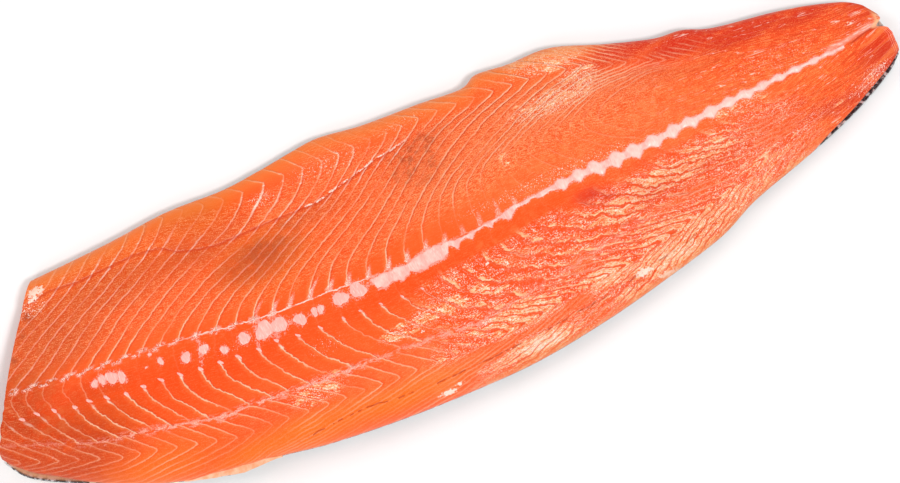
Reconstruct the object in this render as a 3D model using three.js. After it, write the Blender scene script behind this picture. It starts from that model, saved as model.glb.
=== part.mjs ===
// A side of raw salmon: one boned fillet on its skin, lying skin down.
// Units are millimetres and +Z is up. The head end is at -X, the tail at +X,
// the back of the fish along -Y and its belly along +Y. The flat underside of
// the skin is at z = 0, and the origin is under the middle of the fillet.
//
// Every surface is worked out on one net of ribs. A rib crosses the fillet from
// the back edge (across = 0) to the belly edge (across = 1), and ribs follow
// each other from the head cut (along = 0) to the tail end (along = 1).

import * as THREE from 'three';
import { LoftGeometry } from 'three/addons/geometries/LoftGeometry.js';
import { mergeGeometries } from 'three/addons/utils/BufferGeometryUtils.js';

// Driving dimensions, in millimetres

const SKIN_THICKNESS = 1.2;
const CONTACT_GAP = 0.3; // clearance between neighbouring pieces
const SKIN_MARGIN = 1.2; // how far the skin reaches past the flesh
const BACK_CURL_REACH = 16; // width over which the skin lifts along the back
const BELLY_CURL_REACH = 12; // width over which it lifts along the belly
const TAIL_CURL_REACH = 14; // length over which it lifts at the tail end
const TAIL_CURL_RISE = 2;
const HEAD_CUT_BULGE = 3; // the head cut and the tail end bow out a little
const TAIL_END_BULGE = 1.6;
const LEDGE_WIDTH = 2; // the trimmed belly wall drops off over this width
const GROOVE_DEPTH = 1.6; // the bed that the backbone strip lies in
const GROOVE_FLOOR = 5.6; // half its width at the bottom
const GROOVE_RIM = 9; // and at the top
const BEAD_HALF_WIDTH = 4.2; // the backbone strip at a vertebra
const WAIST_HALF_WIDTH = 2.2; // and between two vertebrae
const STRIP_CROWN = 0.5; // how far the strip stands out of its bed
const STRIP_BEVEL = 0.3; // drop from its middle line to its bevels

// Places along the net, as fractions

const END_BULGE_REACH = 0.06;
const STRIP_START = 0.383;
const STRIP_END = 0.938;
const STRIP_TAPER_START = 0.75;
const GROOVE_FADE_START = 0.02; // beyond the strip's two ends
const GROOVE_FADE_END = 0.05;

// Places across the net, as fractions

const LOIN_CREST = 0.55; // the thickest line, from back edge to backbone
const LOIN_COLUMNS = [ 0.05, 0.12, 0.22, 0.36, LOIN_CREST, 0.75 ]; // from back edge to backbone
const WALL_COLUMNS = [ 0.35, 0.7 ]; // from backbone to ledge
const FLAP_COLUMNS = [ 0.35, 0.65, 0.86 ]; // from ledge to belly edge

// Shares of the backbone strip's own width and depth

const STRIP_TAPER = 0.6; // how much narrower it is at the tail
const STRIP_BASE = 0.8; // half width of its underside
const STRIP_BEVEL_SIDE = 0.55; // half width between its bevels
const STRIP_SHOULDER = 0.6; // height of its widest line

// Powers that round the top surface off

const LOIN_ROUNDING = 2.6;
const LOIN_FLATTENING = 0.6;
const WALL_HOLLOW = 1.35;
const FLAP_ROUNDING = 2.4;

// Numbers of samples

const STATIONS = 44;
const STATION_BUNCHING = 0.45; // how strongly ribs crowd towards the two ends
const BEADS = 26;
const EDGE_DIVISIONS = 1000;

// The two long edges, from head to tail

const BACK_EDGE = [
	[ - 271, - 14 ], [ - 262, - 26 ], [ - 240, - 39 ], [ - 207, - 55 ], [ - 174, - 66 ],
	[ - 155, - 71 ], [ - 136, - 71 ], [ - 108, - 76 ], [ - 70, - 80 ], [ - 31, - 82 ],
	[ 13, - 82 ], [ 57, - 77 ], [ 95, - 70 ], [ 134, - 61 ], [ 161, - 50 ],
	[ 200, - 39 ], [ 233, - 28 ], [ 259, - 16 ], [ 270, - 8 ],
];
const BELLY_EDGE = [
	[ - 220, 73 ], [ - 174, 75 ], [ - 138, 78 ], [ - 105, 77 ], [ - 81, 79 ],
	[ - 50, 82 ], [ - 20, 78 ], [ 13, 76 ], [ 38, 74 ], [ 49, 78 ],
	[ 68, 76 ], [ 93, 75 ], [ 123, 64 ], [ 148, 56 ], [ 164, 54 ],
	[ 181, 48 ], [ 216, 42 ], [ 244, 35 ], [ 260, 28 ], [ 268, 17 ],
];

// A smooth curve through points given as [ x, y ]

function curveThrough( points ) {

	const curve = new THREE.SplineCurve( points.map( ( [ x, y ] ) => new THREE.Vector2( x, y ) ) );
	curve.arcLengthDivisions = EDGE_DIVISIONS;
	return curve;

}

const backEdge = curveThrough( BACK_EDGE );
const bellyEdge = curveThrough( BELLY_EDGE );

// A smooth profile through values at equal steps from head to tail

function profile( values ) {

	const last = values.length - 1;
	const curve = curveThrough( values.map( ( value, i ) => [ i / last, value ] ) );
	return ( along ) => curve.getPoint( along ).y;

}

// Where the backbone and the trimmed edge of the belly wall cross a rib

const spineAt = profile( [ 0.281, 0.416, 0.451, 0.436, 0.471, 0.514, 0.519, 0.541, 0.556, 0.556, 0.56 ] );
const ledgeAt = profile( [ 0.85, 0.882, 0.832, 0.794, 0.862, 0.915, 0.902, 0.93, 0.93, 0.93, 0.93 ] );

// Heights of the flesh above the table

const backEdgeHeight = profile( [ 8, 9, 10, 10.5, 10.5, 10, 9.5, 9, 8, 7, 5.5 ] );
const loinHeight = profile( [ 25, 29, 31, 31, 30, 28, 25.5, 22.5, 19, 16, 11 ] );
const spineHeight = profile( [ 21, 24, 25.5, 25.5, 25, 24, 22.5, 20, 17.5, 15, 10.5 ] );
const wallHeight = profile( [ 12, 13, 13.5, 13.5, 14, 14.5, 14.5, 13, 12, 11, 8.5 ] );
const ledgeRise = profile( [ 1.5, 2, 2, 2, 1.2, 0.3, 0, 0, 0, 0, 0 ] );
const bellyEdgeHeight = profile( [ 5, 4.5, 4.5, 4.5, 5, 5.5, 5.5, 5.5, 5.5, 5.5, 5 ] );

// How far the skin lifts off the table at the two edges

const backCurlRise = profile( [ 3.5, 5.5, 6.5, 6.5, 6.5, 6, 5.5, 5, 4, 3, 2.5 ] );
const bellyCurlRise = profile( [ 1, 1, 1, 1, 1.2, 1.5, 2, 2.2, 2.2, 2.2, 2.2 ] );

// The net

const { lerp, clamp, smoothstep } = THREE.MathUtils;

const fade = ( distance, reach ) => Math.max( 0, 1 - distance / reach ) ** 2;

const ribWidth = ( along ) => backEdge.getPointAt( along ).distanceTo( bellyEdge.getPointAt( along ) );

function plan( along, across ) {

	const point = backEdge.getPointAt( along ).lerp( bellyEdge.getPointAt( along ), across );
	const tail = TAIL_END_BULGE * fade( 1 - along, END_BULGE_REACH );
	const head = HEAD_CUT_BULGE * fade( along, END_BULGE_REACH );
	point.x += Math.sin( Math.PI * across ) * ( tail - head );
	return point;

}

function onNet( along, across, height ) {

	const { x, y } = plan( along, across );
	return new THREE.Vector3( x, y, height );

}

function stations() {

	const places = [];
	for ( let i = 0; i <= STATIONS; i ++ ) {

		const even = i / STATIONS;
		const crowded = 0.5 - 0.5 * Math.cos( Math.PI * even );
		places.push( lerp( even, crowded, STATION_BUNCHING ) );

	}

	return places;

}

// Heights

function undersideHeight( along, across ) {

	const width = ribWidth( along );
	const back = backCurlRise( along ) * fade( across * width, BACK_CURL_REACH );
	const belly = bellyCurlRise( along ) * fade( ( 1 - across ) * width, BELLY_CURL_REACH );
	const beforeEnd = backEdge.getLength() * ( 1 - along );
	const tail = TAIL_CURL_RISE * fade( beforeEnd, TAIL_CURL_REACH );
	return Math.max( back, belly, tail );

}

function topHeight( along, across ) {

	const spine = spineAt( along );
	const ledge = ledgeAt( along );
	const crest = spine * LOIN_CREST;
	const back = backEdgeHeight( along );
	const loin = loinHeight( along );
	const middle = spineHeight( along );
	const wall = wallHeight( along );
	if ( across < crest ) {

		const inward = 1 - across / crest;
		return back + ( loin - back ) * ( 1 - inward ** LOIN_ROUNDING ) ** LOIN_FLATTENING;

	}

	if ( across < spine ) return lerp( loin, middle, smoothstep( across, crest, spine ) );

	if ( across < ledge ) {

		const towardsLedge = ( across - spine ) / ( ledge - spine );
		return lerp( middle, wall, towardsLedge ** WALL_HOLLOW );

	}

	const edge = bellyEdgeHeight( along );
	const flap = wall + ledgeRise( along );
	const outward = clamp( ( across - ledge ) / ( 1 - ledge ), 0, 1 );
	return edge + ( flap - edge ) * Math.sqrt( 1 - outward ** FLAP_ROUNDING );

}

// How deep the backbone strip's bed is: flat under the strip, sloping up to its
// rim on both sides, and fading out beyond the strip's two ends

function grooveDepth( along, across ) {

	const offset = Math.abs( across - spineAt( along ) ) * ribWidth( along );
	const beyond = Math.max( STRIP_START - along, along - STRIP_END, 0 );
	const inBed = 1 - smoothstep( offset, GROOVE_FLOOR, GROOVE_RIM );
	const underStrip = 1 - smoothstep( beyond, GROOVE_FADE_START, GROOVE_FADE_END );
	return GROOVE_DEPTH * inBed * underStrip;

}

// Columns: where a rib is sampled. Skin and flesh share them, so that the two
// follow each other with an even gap; the flesh leaves out the outermost ones

function columns( along ) {

	const width = ribWidth( along );
	const margin = SKIN_MARGIN / width;
	const spine = spineAt( along );
	const ledge = ledgeAt( along );
	const rim = GROOVE_RIM / width;
	const floor = GROOVE_FLOOR / width;
	const loin = LOIN_COLUMNS.map( ( share ) => share * spine );
	const wall = WALL_COLUMNS.map( ( share ) => lerp( spine, ledge, share ) );
	const flap = FLAP_COLUMNS.map( ( share ) => lerp( ledge, 1, share ) );
	return [
		0, margin, ...loin,
		spine - rim, spine - floor, spine, spine + floor, spine + rim,
		...wall, ledge - LEDGE_WIDTH / width, ledge,
		...flap, 1 - margin, 1,
	];

}

// A layer is a closed solid between a lower and an upper surface. Each surface
// is a row of ribs with equal numbers of points

function makeLayer( lowerRibs, upperRibs ) {

	const rings = lowerRibs.map( ( lower, i ) => [ ...lower, ...upperRibs[ i ].slice().reverse() ] );
	const headCut = [ upperRibs[ 0 ], lowerRibs[ 0 ] ];
	const tailEnd = [ lowerRibs.at( - 1 ), upperRibs.at( - 1 ) ];
	return mergeGeometries( [
		new LoftGeometry( rings ),
		new LoftGeometry( headCut, { closed: false } ),
		new LoftGeometry( tailEnd, { closed: false } ),
	] );

}

// Pieces

function makeSkin() {

	const ribs = ( lift ) => stations().map( ( along ) => columns( along ).map(
		( across ) => onNet( along, across, undersideHeight( along, across ) + lift ) ) );
	return makeLayer( ribs( 0 ), ribs( SKIN_THICKNESS ) );

}

function makeFlesh() {

	const bed = SKIN_THICKNESS + CONTACT_GAP;
	const tail = 1 - SKIN_MARGIN / backEdge.getLength();
	const places = stations().map( ( along ) => Math.min( along, tail ) );
	const ribs = ( height ) => places.map( ( along ) => columns( along ).slice( 1, - 1 ).map(
		( across ) => onNet( along, across, height( along, across ) ) ) );
	const lower = ribs( ( along, across ) => undersideHeight( along, across ) + bed );
	const upper = ribs( ( along, across ) => topHeight( along, across ) - grooveDepth( along, across ) );
	return makeLayer( lower, upper );

}

function stripSection( along, halfWidth ) {

	const spine = spineAt( along );
	const floor = spineHeight( along ) - GROOVE_DEPTH + CONTACT_GAP;
	const shoulder = floor + STRIP_SHOULDER * ( GROOVE_DEPTH - CONTACT_GAP );
	const crown = spineHeight( along ) + STRIP_CROWN;
	const bevel = crown - STRIP_BEVEL;
	const outline = [
		[ - STRIP_BASE, floor ], [ STRIP_BASE, floor ], [ 1, shoulder ], [ STRIP_BEVEL_SIDE, bevel ],
		[ 0, crown ], [ - STRIP_BEVEL_SIDE, bevel ], [ - 1, shoulder ],
	];
	return outline.map( ( [ side, height ] ) =>
		onNet( along, spine + side * halfWidth / ribWidth( along ), height ) );

}

function makeBackboneStrip() {

	const sections = [];
	for ( let i = 0; i <= 2 * BEADS; i ++ ) {

		const along = lerp( STRIP_START, STRIP_END, i / ( 2 * BEADS ) );
		const widest = i % 2 === 1 ? BEAD_HALF_WIDTH : WAIST_HALF_WIDTH;
		const taper = 1 - STRIP_TAPER * smoothstep( along, STRIP_TAPER_START, STRIP_END );
		sections.push( stripSection( along, widest * taper ) );

	}

	return new LoftGeometry( sections, { capStart: true, capEnd: true } );

}

// Assembly

const fleshFinish = new THREE.MeshStandardMaterial( { color: 0xe8662f, roughness: 0.35, metalness: 0 } );
const skinFinish = new THREE.MeshStandardMaterial( { color: 0x6d7478, roughness: 0.4, metalness: 0.2 } );
const boneFinish = new THREE.MeshStandardMaterial( { color: 0xf3c3b4, roughness: 0.35, metalness: 0 } );

function addPiece( parent, name, geometry, material ) {

	const mesh = new THREE.Mesh( geometry, material );
	mesh.name = name;
	parent.add( mesh );

}

const fillet = new THREE.Group();
addPiece( fillet, 'flesh', makeFlesh(), fleshFinish );
addPiece( fillet, 'skin', makeSkin(), skinFinish );
addPiece( fillet, 'backbone_strip', makeBackboneStrip(), boneFinish );

const middle = new THREE.Box3().setFromObject( fillet ).getCenter( new THREE.Vector3() );
fillet.position.set( - middle.x, - middle.y, 0 );

export default fillet;
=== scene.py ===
"""A side of raw salmon lying on its skin.

The wet cut flesh, the skin under it, the strip of cut backbone, the ends of ribs and pin
bones, and a scrap of fat on the back edge. Lengths are in millimetres, apart from those of
meshes and of the stage, which are in metres. The head end is at -X, the tail at +X, the back
of the fish along -Y and the belly along +Y.
"""

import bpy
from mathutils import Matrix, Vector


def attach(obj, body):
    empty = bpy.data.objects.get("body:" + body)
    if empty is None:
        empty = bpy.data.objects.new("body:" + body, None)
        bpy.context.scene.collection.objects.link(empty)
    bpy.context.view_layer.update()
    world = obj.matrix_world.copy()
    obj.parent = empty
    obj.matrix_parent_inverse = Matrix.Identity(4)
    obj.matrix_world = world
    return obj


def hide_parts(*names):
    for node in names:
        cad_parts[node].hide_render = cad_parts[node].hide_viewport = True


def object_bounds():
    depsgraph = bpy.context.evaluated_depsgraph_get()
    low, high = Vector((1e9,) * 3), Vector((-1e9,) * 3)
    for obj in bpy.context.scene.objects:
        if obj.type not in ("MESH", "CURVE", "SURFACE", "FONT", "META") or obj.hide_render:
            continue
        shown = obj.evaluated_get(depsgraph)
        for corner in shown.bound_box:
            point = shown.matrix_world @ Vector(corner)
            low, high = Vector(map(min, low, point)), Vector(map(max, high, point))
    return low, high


bl_info = {
    "name": "Raw Salmon Side",
    "version": (1, 0, 0),
    "blender": (4, 5, 0),
    "location": "3D View > Sidebar > Salmon",
    "description": "Builds the looks of a boned side of raw salmon around its solid model",
    "category": "Add Mesh",
}

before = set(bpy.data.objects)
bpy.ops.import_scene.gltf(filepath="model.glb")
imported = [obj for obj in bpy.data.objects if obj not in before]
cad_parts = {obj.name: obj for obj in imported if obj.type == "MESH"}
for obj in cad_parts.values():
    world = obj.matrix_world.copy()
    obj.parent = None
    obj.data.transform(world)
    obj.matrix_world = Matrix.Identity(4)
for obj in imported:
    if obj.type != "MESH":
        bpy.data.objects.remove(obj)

import math

import bpy
import numpy as np
from mathutils import Vector
from mathutils.bvhtree import BVHTree

MM = 0.001
CAD_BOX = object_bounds()
CAD_LOW, CAD_HIGH = (np.array(corner) / MM for corner in CAD_BOX)

# ---------------------------------------------------------------- the outline

SKIN_THICKNESS = 1.2
BACK_CURL_REACH = 16  # width over which the skin lifts along the back
BELLY_CURL_REACH = 12
TAIL_CURL_REACH = 14
TAIL_CURL_RISE = 2
HEAD_CUT_BULGE = 3
TAIL_END_BULGE = 1.6
END_BULGE_REACH = 0.06
LOIN_CREST = 0.55  # the thickest line, as a share of the way from back edge to backbone
LOIN_ROUNDING = (2.6, 0.6)  # powers that round the loin down to the back edge
WALL_SLOPE = 1.35  # power by which the belly wall thins towards the ledge
FLAP_ROUNDING = 2.4
LEDGE_STEP = 1.4  # width of the step at the ledge

BACK_EDGE = [
    (-271, -14), (-262, -26), (-240, -39), (-207, -55), (-174, -66), (-155, -71), (-136, -71),
    (-108, -76), (-70, -80), (-31, -82), (13, -82), (57, -77), (95, -70), (134, -61), (161, -50),
    (200, -39), (233, -28), (259, -16), (270, -8),
]
BELLY_EDGE = [
    (-220, 73), (-174, 75), (-138, 78), (-105, 77), (-81, 79), (-50, 82), (-20, 78), (13, 76),
    (38, 74), (49, 78), (68, 76), (93, 75), (123, 64), (148, 56), (164, 54), (181, 48), (216, 42),
    (244, 35), (260, 28), (268, 17),
]

# Profiles from head to tail, at equal steps

SPINE_AT = [0.281, 0.416, 0.451, 0.436, 0.471, 0.514, 0.519, 0.541, 0.556, 0.556, 0.56]
LEDGE_AT = [0.85, 0.882, 0.832, 0.794, 0.862, 0.915, 0.902, 0.93, 0.93, 0.93, 0.93]
BACK_EDGE_HEIGHT = [8, 9, 10, 10.5, 10.5, 10, 9.5, 9, 8, 7, 5.5]
LOIN_HEIGHT = [25, 29, 31, 31, 30, 28, 25.5, 22.5, 19, 16, 11]
SPINE_HEIGHT = [21, 24, 25.5, 25.5, 25, 24, 22.5, 20, 17.5, 15, 10.5]
WALL_HEIGHT = [12, 13, 13.5, 13.5, 14, 14.5, 14.5, 13, 12, 11, 8.5]
LEDGE_RISE = [1.5, 2, 2, 2, 1.2, 0.3, 0, 0, 0, 0, 0]
BELLY_EDGE_HEIGHT = [5, 4.5, 4.5, 4.5, 5, 5.5, 5.5, 5.5, 5.5, 5.5, 5]
BACK_CURL_RISE = [3.5, 5.5, 6.5, 6.5, 6.5, 6, 5.5, 5, 4, 3, 2.5]
BELLY_CURL_RISE = [1, 1, 1, 1, 1.2, 1.5, 2, 2.2, 2.2, 2.2, 2.2]

# How much of the skin shows beyond the flesh, as (x, width) along each edge

SKIN_SHOWS_BACK = [
    (-272, 1.6), (-266, 3.4), (-250, 3), (-236, 1.2), (-220, 0.4), (-182, 0), (-170, 2.2),
    (-155, 3.6), (-143, 1.6), (-136, 0), (202, 0), (214, 1.6), (245, 2.8), (266, 2.4), (272, 1.6),
]
SKIN_SHOWS_BELLY = [
    (-222, 0), (-205, 0.6), (-150, 1.0), (-95, 1.5), (-60, 1.6), (-42, 0.2), (230, 0), (252, 0.6),
    (266, 1.4), (272, 1.4),
]
TAIL_SKIN_SHOWS = 1.6

# Lines that part the muscles, from head to tail, as (x, y)

MIDLINE = [
    (-273, 23.8), (-249, 19.9), (-231, 17.2), (-210, 14.4), (-170, 10.6), (-148, 7.8), (-128, 4.5),
    (-106, 1.2), (-75, 0.1), (-50, -2.1), (-26, -2.6), (-6, -2.1), (27, -0.4), (38, 1.8), (62, 5.1),
    (101, 5.1), (134, 6.5), (178, 8.9), (241, 8.9), (271, 12.2),
]
BELLY_FOLD = [
    (-273, 75.5), (-132, 75.5), (-106, 70.5), (-68, 69.4), (-41, 67.8), (18, 68.3), (40, 66.1),
    (58, 64.5), (84, 62.3), (104, 58.4), (122, 51.3), (136, 47.4), (154, 39.2), (178, 34.8),
    (205, 30.4), (233, 23.8), (271, 18.3),
]
FASCIA = [
    (-273, -1), (-238, -14.7), (-218, -23), (-185, -29.6), (-169, -33.4), (-153, -37.8),
    (-127, -38.9), (-100, -41.7), (-64, -43.3), (-37, -45.5), (-6, -48.3), (7, -47.2), (40, -42.8),
    (74, -37.8), (105, -33.4), (124, -31.2), (143, -26.3), (178, -19.1), (271, 1.8),
]
FASCIA_SHOWS = [  # (x, how plainly)
    (-273, 0.15), (-225, 0.3), (-190, 0.9), (-80, 0.9), (-55, 0.4), (-30, 0.8), (0, 0.7), (25, 0.3),
    (60, 0.5), (95, 0.4), (115, 0.1), (140, 0),
]
BACK_FOLD = [
    (-273, -12), (-236, -25.7), (-211, -35.6), (-192, -40), (-171, -45.5), (-147, -52.1),
    (-117, -53.8), (-70, -57.1), (-16, -60.4), (16, -59.3), (46, -56), (86, -52.1), (123, -44.4),
    (143, -40.6), (178, -29), (271, -3.7),
]
LEDGE = [
    (-229, 61.2), (-212, 63.4), (-196, 61.7), (-163, 62.8), (-148, 60.6), (-140, 54.6),
    (-130, 51.3), (-119, 49.1), (-86, 49.1), (-59, 48), (-50, 50.2), (-37, 52.9), (-21, 56.8),
    (-10, 57.9), (2, 60.6), (13, 62.3),
]
CRACK = [
    (-125, -68.1), (-105, -66.4), (-81, -65.3), (-53, -68.6), (-26, -69.2), (13, -68.1),
    (35, -66.4), (68, -63.7), (95, -58.7), (112, -56), (134, -50.5),
]

QUIET_LINE = [  # nearer the backbone the seams of the belly wall hardly show
    (-90, -12), (-60, -10), (-30, -6), (-10, 8), (24, 27), (58, 39), (114, 36), (154, 42),
    (271, 30),
]

# Ends of bones in the cut surface

BONE_SPOTS = [  # (x, y, half length, half width)
    (-207.1, 6.2, 2, 2), (-202.7, 6.5, 1.7, 3.1), (-197.6, 5.5, 3.4, 3.2), (-192.5, 3.6, 2.3, 3),
    (-178.5, 2.9, 0.8, 0.6), (-174.1, 8.7, 1, 1), (-170.2, 2.9, 1.6, 2), (-157, -0.9, 2.8, 2.7),
    (-146.6, -0.7, 2.5, 2.8), (-136.7, -5.6, 2.1, 2.3), (-124.6, -4.3, 3.4, 3),
    (-113.2, -4.6, 5, 4.6), (-104.8, -5.3, 4.2, 4.4), (-93.2, -7.3, 3.3, 3.2),
    (-84.6, -6.7, 1.9, 2.4), (-81, -6.8, 1.9, 2.5), (-69, -5.9, 4, 3.8), (-58.6, -5.4, 4.6, 4),
]
PINK_STREAKS = [  # (x, y, half length, half width, strength)
    (-147.8, 3.5, 1, 3, 1.2), (-149, -2, 1, 3.5, 1.2), (-150.3, -6.5, 1, 3, 1),
    (-114, 1.5, 1.2, 3.5, 1.2), (-116.5, -4, 1.4, 5, 1.3), (-119, -10, 1, 3.5, 1.2),
    (-108, -9.5, 1.4, 3, 1.2), (-99, -6.5, 3, 1.5, 1), (-88, -7, 3, 1, 0.8), (-196, 4, 6, 2.5, 0.9),
    (-191, 1.5, 1, 3, 1), (-63.5, -5.5, 2.5, 1.5, 1), (-52, -5, 2.5, 1.2, 1),
]
PIN_BONES = [  # (x, y)
    (-250, 4.5), (-241.7, 4), (-232.4, 1.8), (-221.4, -1), (-213.1, -1), (-203.8, -3.2),
    (-193.3, -5.9), (-183.4, -5.9), (-173.5, -6.5), (-163.1, -8.1), (-152.1, -9.8), (-141.1, -10.9),
    (-131.2, -12), (-119.6, -13.1), (-109.2, -12.5), (-97.6, -14.7), (-85, -15.8), (-71.8, -16.4),
    (-61.9, -16.4), (-50.3, -17.5), (-38.2, -18.6), (-26.7, -19.1),
]

# The furrow at the tail end and its pale lip

TAIL_LIP = [
    (229.6, 9.6), (235.7, 10.2), (241.6, 10.4), (247.8, 10.9), (254.4, 12), (260.7, 12.8),
    (266.4, 12.4),
]
TAIL_FURROW = [(243, 7.4), (250.1, 8.8), (253, 9.6), (257.2, 10.6), (262.5, 11.2), (267.5, 10.6)]

# How far a seam between two flakes runs towards the tail on its way out from the
# midline, at equal steps of the way (rows) and at stations along the midline (columns)

FIRST_STATION = -317
ALL_STATIONS = 495  # from the first to the last
BELLY_SEAMS = [
    [0, 0, 0, 0, 0, 0, 0, 0, 0, 0],
    [15, 15, 15, 13, 10, 6, 0, -10, -18, -22],
    [31, 31, 32, 36, 32, 23, 7, -13, -28, -33],
    [52, 52, 55, 63, 56, 42, 34, 11, -16, -25],
    [73, 73, 77, 87, 76, 64, 62, 41, 11, 0],
    [87, 87, 91, 99, 96, 94, 89, 72, 50, 33],
]
BELLY_SWEEP_BACK = [11, 11, 11, 12, 14, 18, 25, 33, 33, 28]  # beyond the belly fold
LOIN_SEAMS = [
    [0, 0, 0, 0, 0, 0, 0, 0, 0, 0],
    [-3, -3, -3, -3, -2, -2, -1, 0, 1, 1],
    [-1, -1, -2, -4, -2, -1, 2, 6, 6, 6],
    [2, 2, 1, -2, 3, 4, 11, 20, 19, 19],
    [7, 7, 7, 6, 9, 14, 26, 39, 39, 39],
    [15, 15, 14, 14, 17, 28, 44, 62, 61, 61],
]
BACK_SWEEP_IN = [17, 17, 17, 17, 21, 19, 25, 41, 44, 44]  # from the back fold to the fascia
BACK_SWEEP_OUT = [55, 55, 58, 61, 77, 99, 110, 105, 72, 55]  # and out to the back edge
FLAKE_START = -96  # place of flake number 0 on the midline
FLAKE_HEAD = 10.2  # length of a flake towards the head, along the midline
FLAKE_TAIL = 11.25  # and towards the tail
BACK_FLAKE_TAIL = 10.4
BACK_TIP = 1.5  # how far the points of the back's flakes reach towards the head
LOIN_OVERLAP = 1.15  # the loin's seams are laid out this far, as a share of the way
BACK_OVERLAP = 0.5  # and those of the back start this far inside the fascia
SEAM_GAPS = (1.2, 14)  # least and greatest distance between two seams


def srgb(red, green, blue):
    """A colour of 0 to 255 numbers as the linear light that shaders use."""
    parts = (c / 255 for c in (red, green, blue))
    return tuple(c / 12.92 if c <= 0.04045 else ((c + 0.055) / 1.055) ** 2.4 for c in parts)


# ------------------------------------------------------------- number helpers


def rise(value, low=0.0, high=1.0):
    """0 below low, 1 above high and an S-shaped rise between them."""
    share = np.clip((value - low) / (high - low), 0, 1)
    return share * share * (3 - 2 * share)


def fall(value, low=0.0, high=1.0):
    return 1 - rise(value, low, high)


def lerp(start, end, share):
    return start + (end - start) * share


def fade(distance, reach):
    """1 at no distance, curving down to 0 at reach."""
    return np.maximum(0, 1 - distance / reach) ** 2


def through(values, share):
    """A smooth line through values at equal steps, read at a share of the way from 0 to 1."""
    values = np.asarray(values, float)
    last = len(values) - 1
    place = np.clip(share, 0, 1) * last
    index = np.minimum(place.astype(int), last - 1)
    rest = place - index
    if values.ndim > 1:
        rest = rest[..., None]
    before, start = values[np.maximum(index - 1, 0)], values[index]
    end, after = values[index + 1], values[np.minimum(index + 2, last)]
    leave, arrive = (end - before) / 2, (after - start) / 2
    return (
        (2 * start - 2 * end + leave + arrive) * rest**3
        + (3 * end - 3 * start - 2 * leave - arrive) * rest**2
        + leave * rest
        + start
    )


def bell(offset, half_width):
    """1 at no offset, falling off on both sides."""
    return np.exp(-((offset / half_width) ** 2))


def along_points(points, x):
    """The y of a line given by (x, y) points."""
    points = np.array(points, float)
    return np.interp(x, points[:, 0], points[:, 1])


def ripple(x, y, size, seed):
    """Smooth random waves about size long, from -1 to 1, the same in every run."""
    table = np.random.default_rng(seed).uniform(-1, 1, (64, 64))
    u, v = x / size + 1000.5, y / size + 1000.5
    i, j = np.floor(u).astype(int), np.floor(v).astype(int)
    a, b = rise(u - i), rise(v - j)

    def corner(di, dj):
        return table[(i + di) % 64, (j + dj) % 64]

    near = lerp(corner(0, 0), corner(1, 0), a)
    far = lerp(corner(0, 1), corner(1, 1), a)
    return lerp(near, far, b)


def patches(x, y, spots):
    """The strongest of soft oval patches given as (x, y, half length, half width, strength)."""
    mask = np.zeros(np.shape(x))
    for at_x, at_y, half_length, half_width, strength in spots:
        away = ((x - at_x) / half_length) ** 2 + ((y - at_y) / half_width) ** 2
        mask = np.maximum(mask, strength * np.exp(-(away**1.5)))
    return mask


# -------------------------------------------------------------------- the net


class Edge:
    """A smooth line through points, read by the share of its length."""

    def __init__(self, points):
        self.line = through(points, np.linspace(0, 1, 1001))
        steps = np.linalg.norm(np.diff(self.line, axis=0), axis=1)
        run = np.concatenate([[0], np.cumsum(steps)])
        self.length = run[-1]
        self.share = run / run[-1]

    def at(self, share):
        return np.stack([np.interp(share, self.share, self.line[:, k]) for k in (0, 1)], axis=-1)


class Net:
    """Ribs across the fillet, from the back edge (across 0) to the belly edge (across 1), that
    follow each other from the head cut (along 0) to the tail end (along 1)."""

    def __init__(self):
        self.back = Edge(BACK_EDGE)
        self.belly = Edge(BELLY_EDGE)
        self.length = self.back.length
        self.shift = np.zeros(2)
        ring = np.linspace(0, 1, 200)
        start, end = 0 * ring, 1 + 0 * ring
        sides = [(ring, start), (ring, end), (start, ring), (end, ring)]
        outline = np.concatenate([self.plan(*side) for side in sides])
        middle = (outline.min(axis=0) + outline.max(axis=0)) / 2
        self.shift = (CAD_LOW[:2] + CAD_HIGH[:2]) / 2 - middle

    def plan(self, along, across):
        back, belly = self.back.at(along), self.belly.at(along)
        point = back + (belly - back) * np.asarray(across)[..., None]
        tail = TAIL_END_BULGE * fade(1 - along, END_BULGE_REACH)
        head = HEAD_CUT_BULGE * fade(along, END_BULGE_REACH)
        point[..., 0] += np.sin(np.pi * across) * (tail - head)
        return point + self.shift

    def width(self, along):
        return np.linalg.norm(self.back.at(along) - self.belly.at(along), axis=-1)

    def underside(self, along, across):
        width = self.width(along)
        back = through(BACK_CURL_RISE, along) * fade(across * width, BACK_CURL_REACH)
        belly = through(BELLY_CURL_RISE, along) * fade((1 - across) * width, BELLY_CURL_REACH)
        tail = TAIL_CURL_RISE * fade(self.length * (1 - along), TAIL_CURL_REACH)
        return np.maximum(np.maximum(back, belly), tail)

    def top(self, along, across):
        """Height of the cut surface, without its fine relief."""
        spine, ledge = through(SPINE_AT, along), through(LEDGE_AT, along)
        back, loin = through(BACK_EDGE_HEIGHT, along), through(LOIN_HEIGHT, along)
        middle, wall = through(SPINE_HEIGHT, along), through(WALL_HEIGHT, along)
        edge = through(BELLY_EDGE_HEIGHT, along)
        crest = spine * LOIN_CREST
        inward = np.clip(1 - across / crest, 0, 1)
        round_in, round_out = LOIN_ROUNDING
        loin_side = back + (loin - back) * (1 - inward**round_in) ** round_out
        shoulder = lerp(loin, middle, rise(across, crest, spine))
        down = np.clip((across - spine) / (ledge - spine), 0, 1)
        slope = lerp(middle, wall, down**WALL_SLOPE)
        outward = np.clip((across - ledge) / (1 - ledge), 0, 1)
        step = rise(across, ledge - LEDGE_STEP / self.width(along), ledge)
        flap_rise = wall + through(LEDGE_RISE, along) - edge
        flap = edge + flap_rise * np.sqrt(1 - outward**FLAP_ROUNDING)
        height = np.where(across < crest, loin_side, np.where(across < spine, shoulder, slope))
        return lerp(height, flap, step)


NET = Net()


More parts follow.
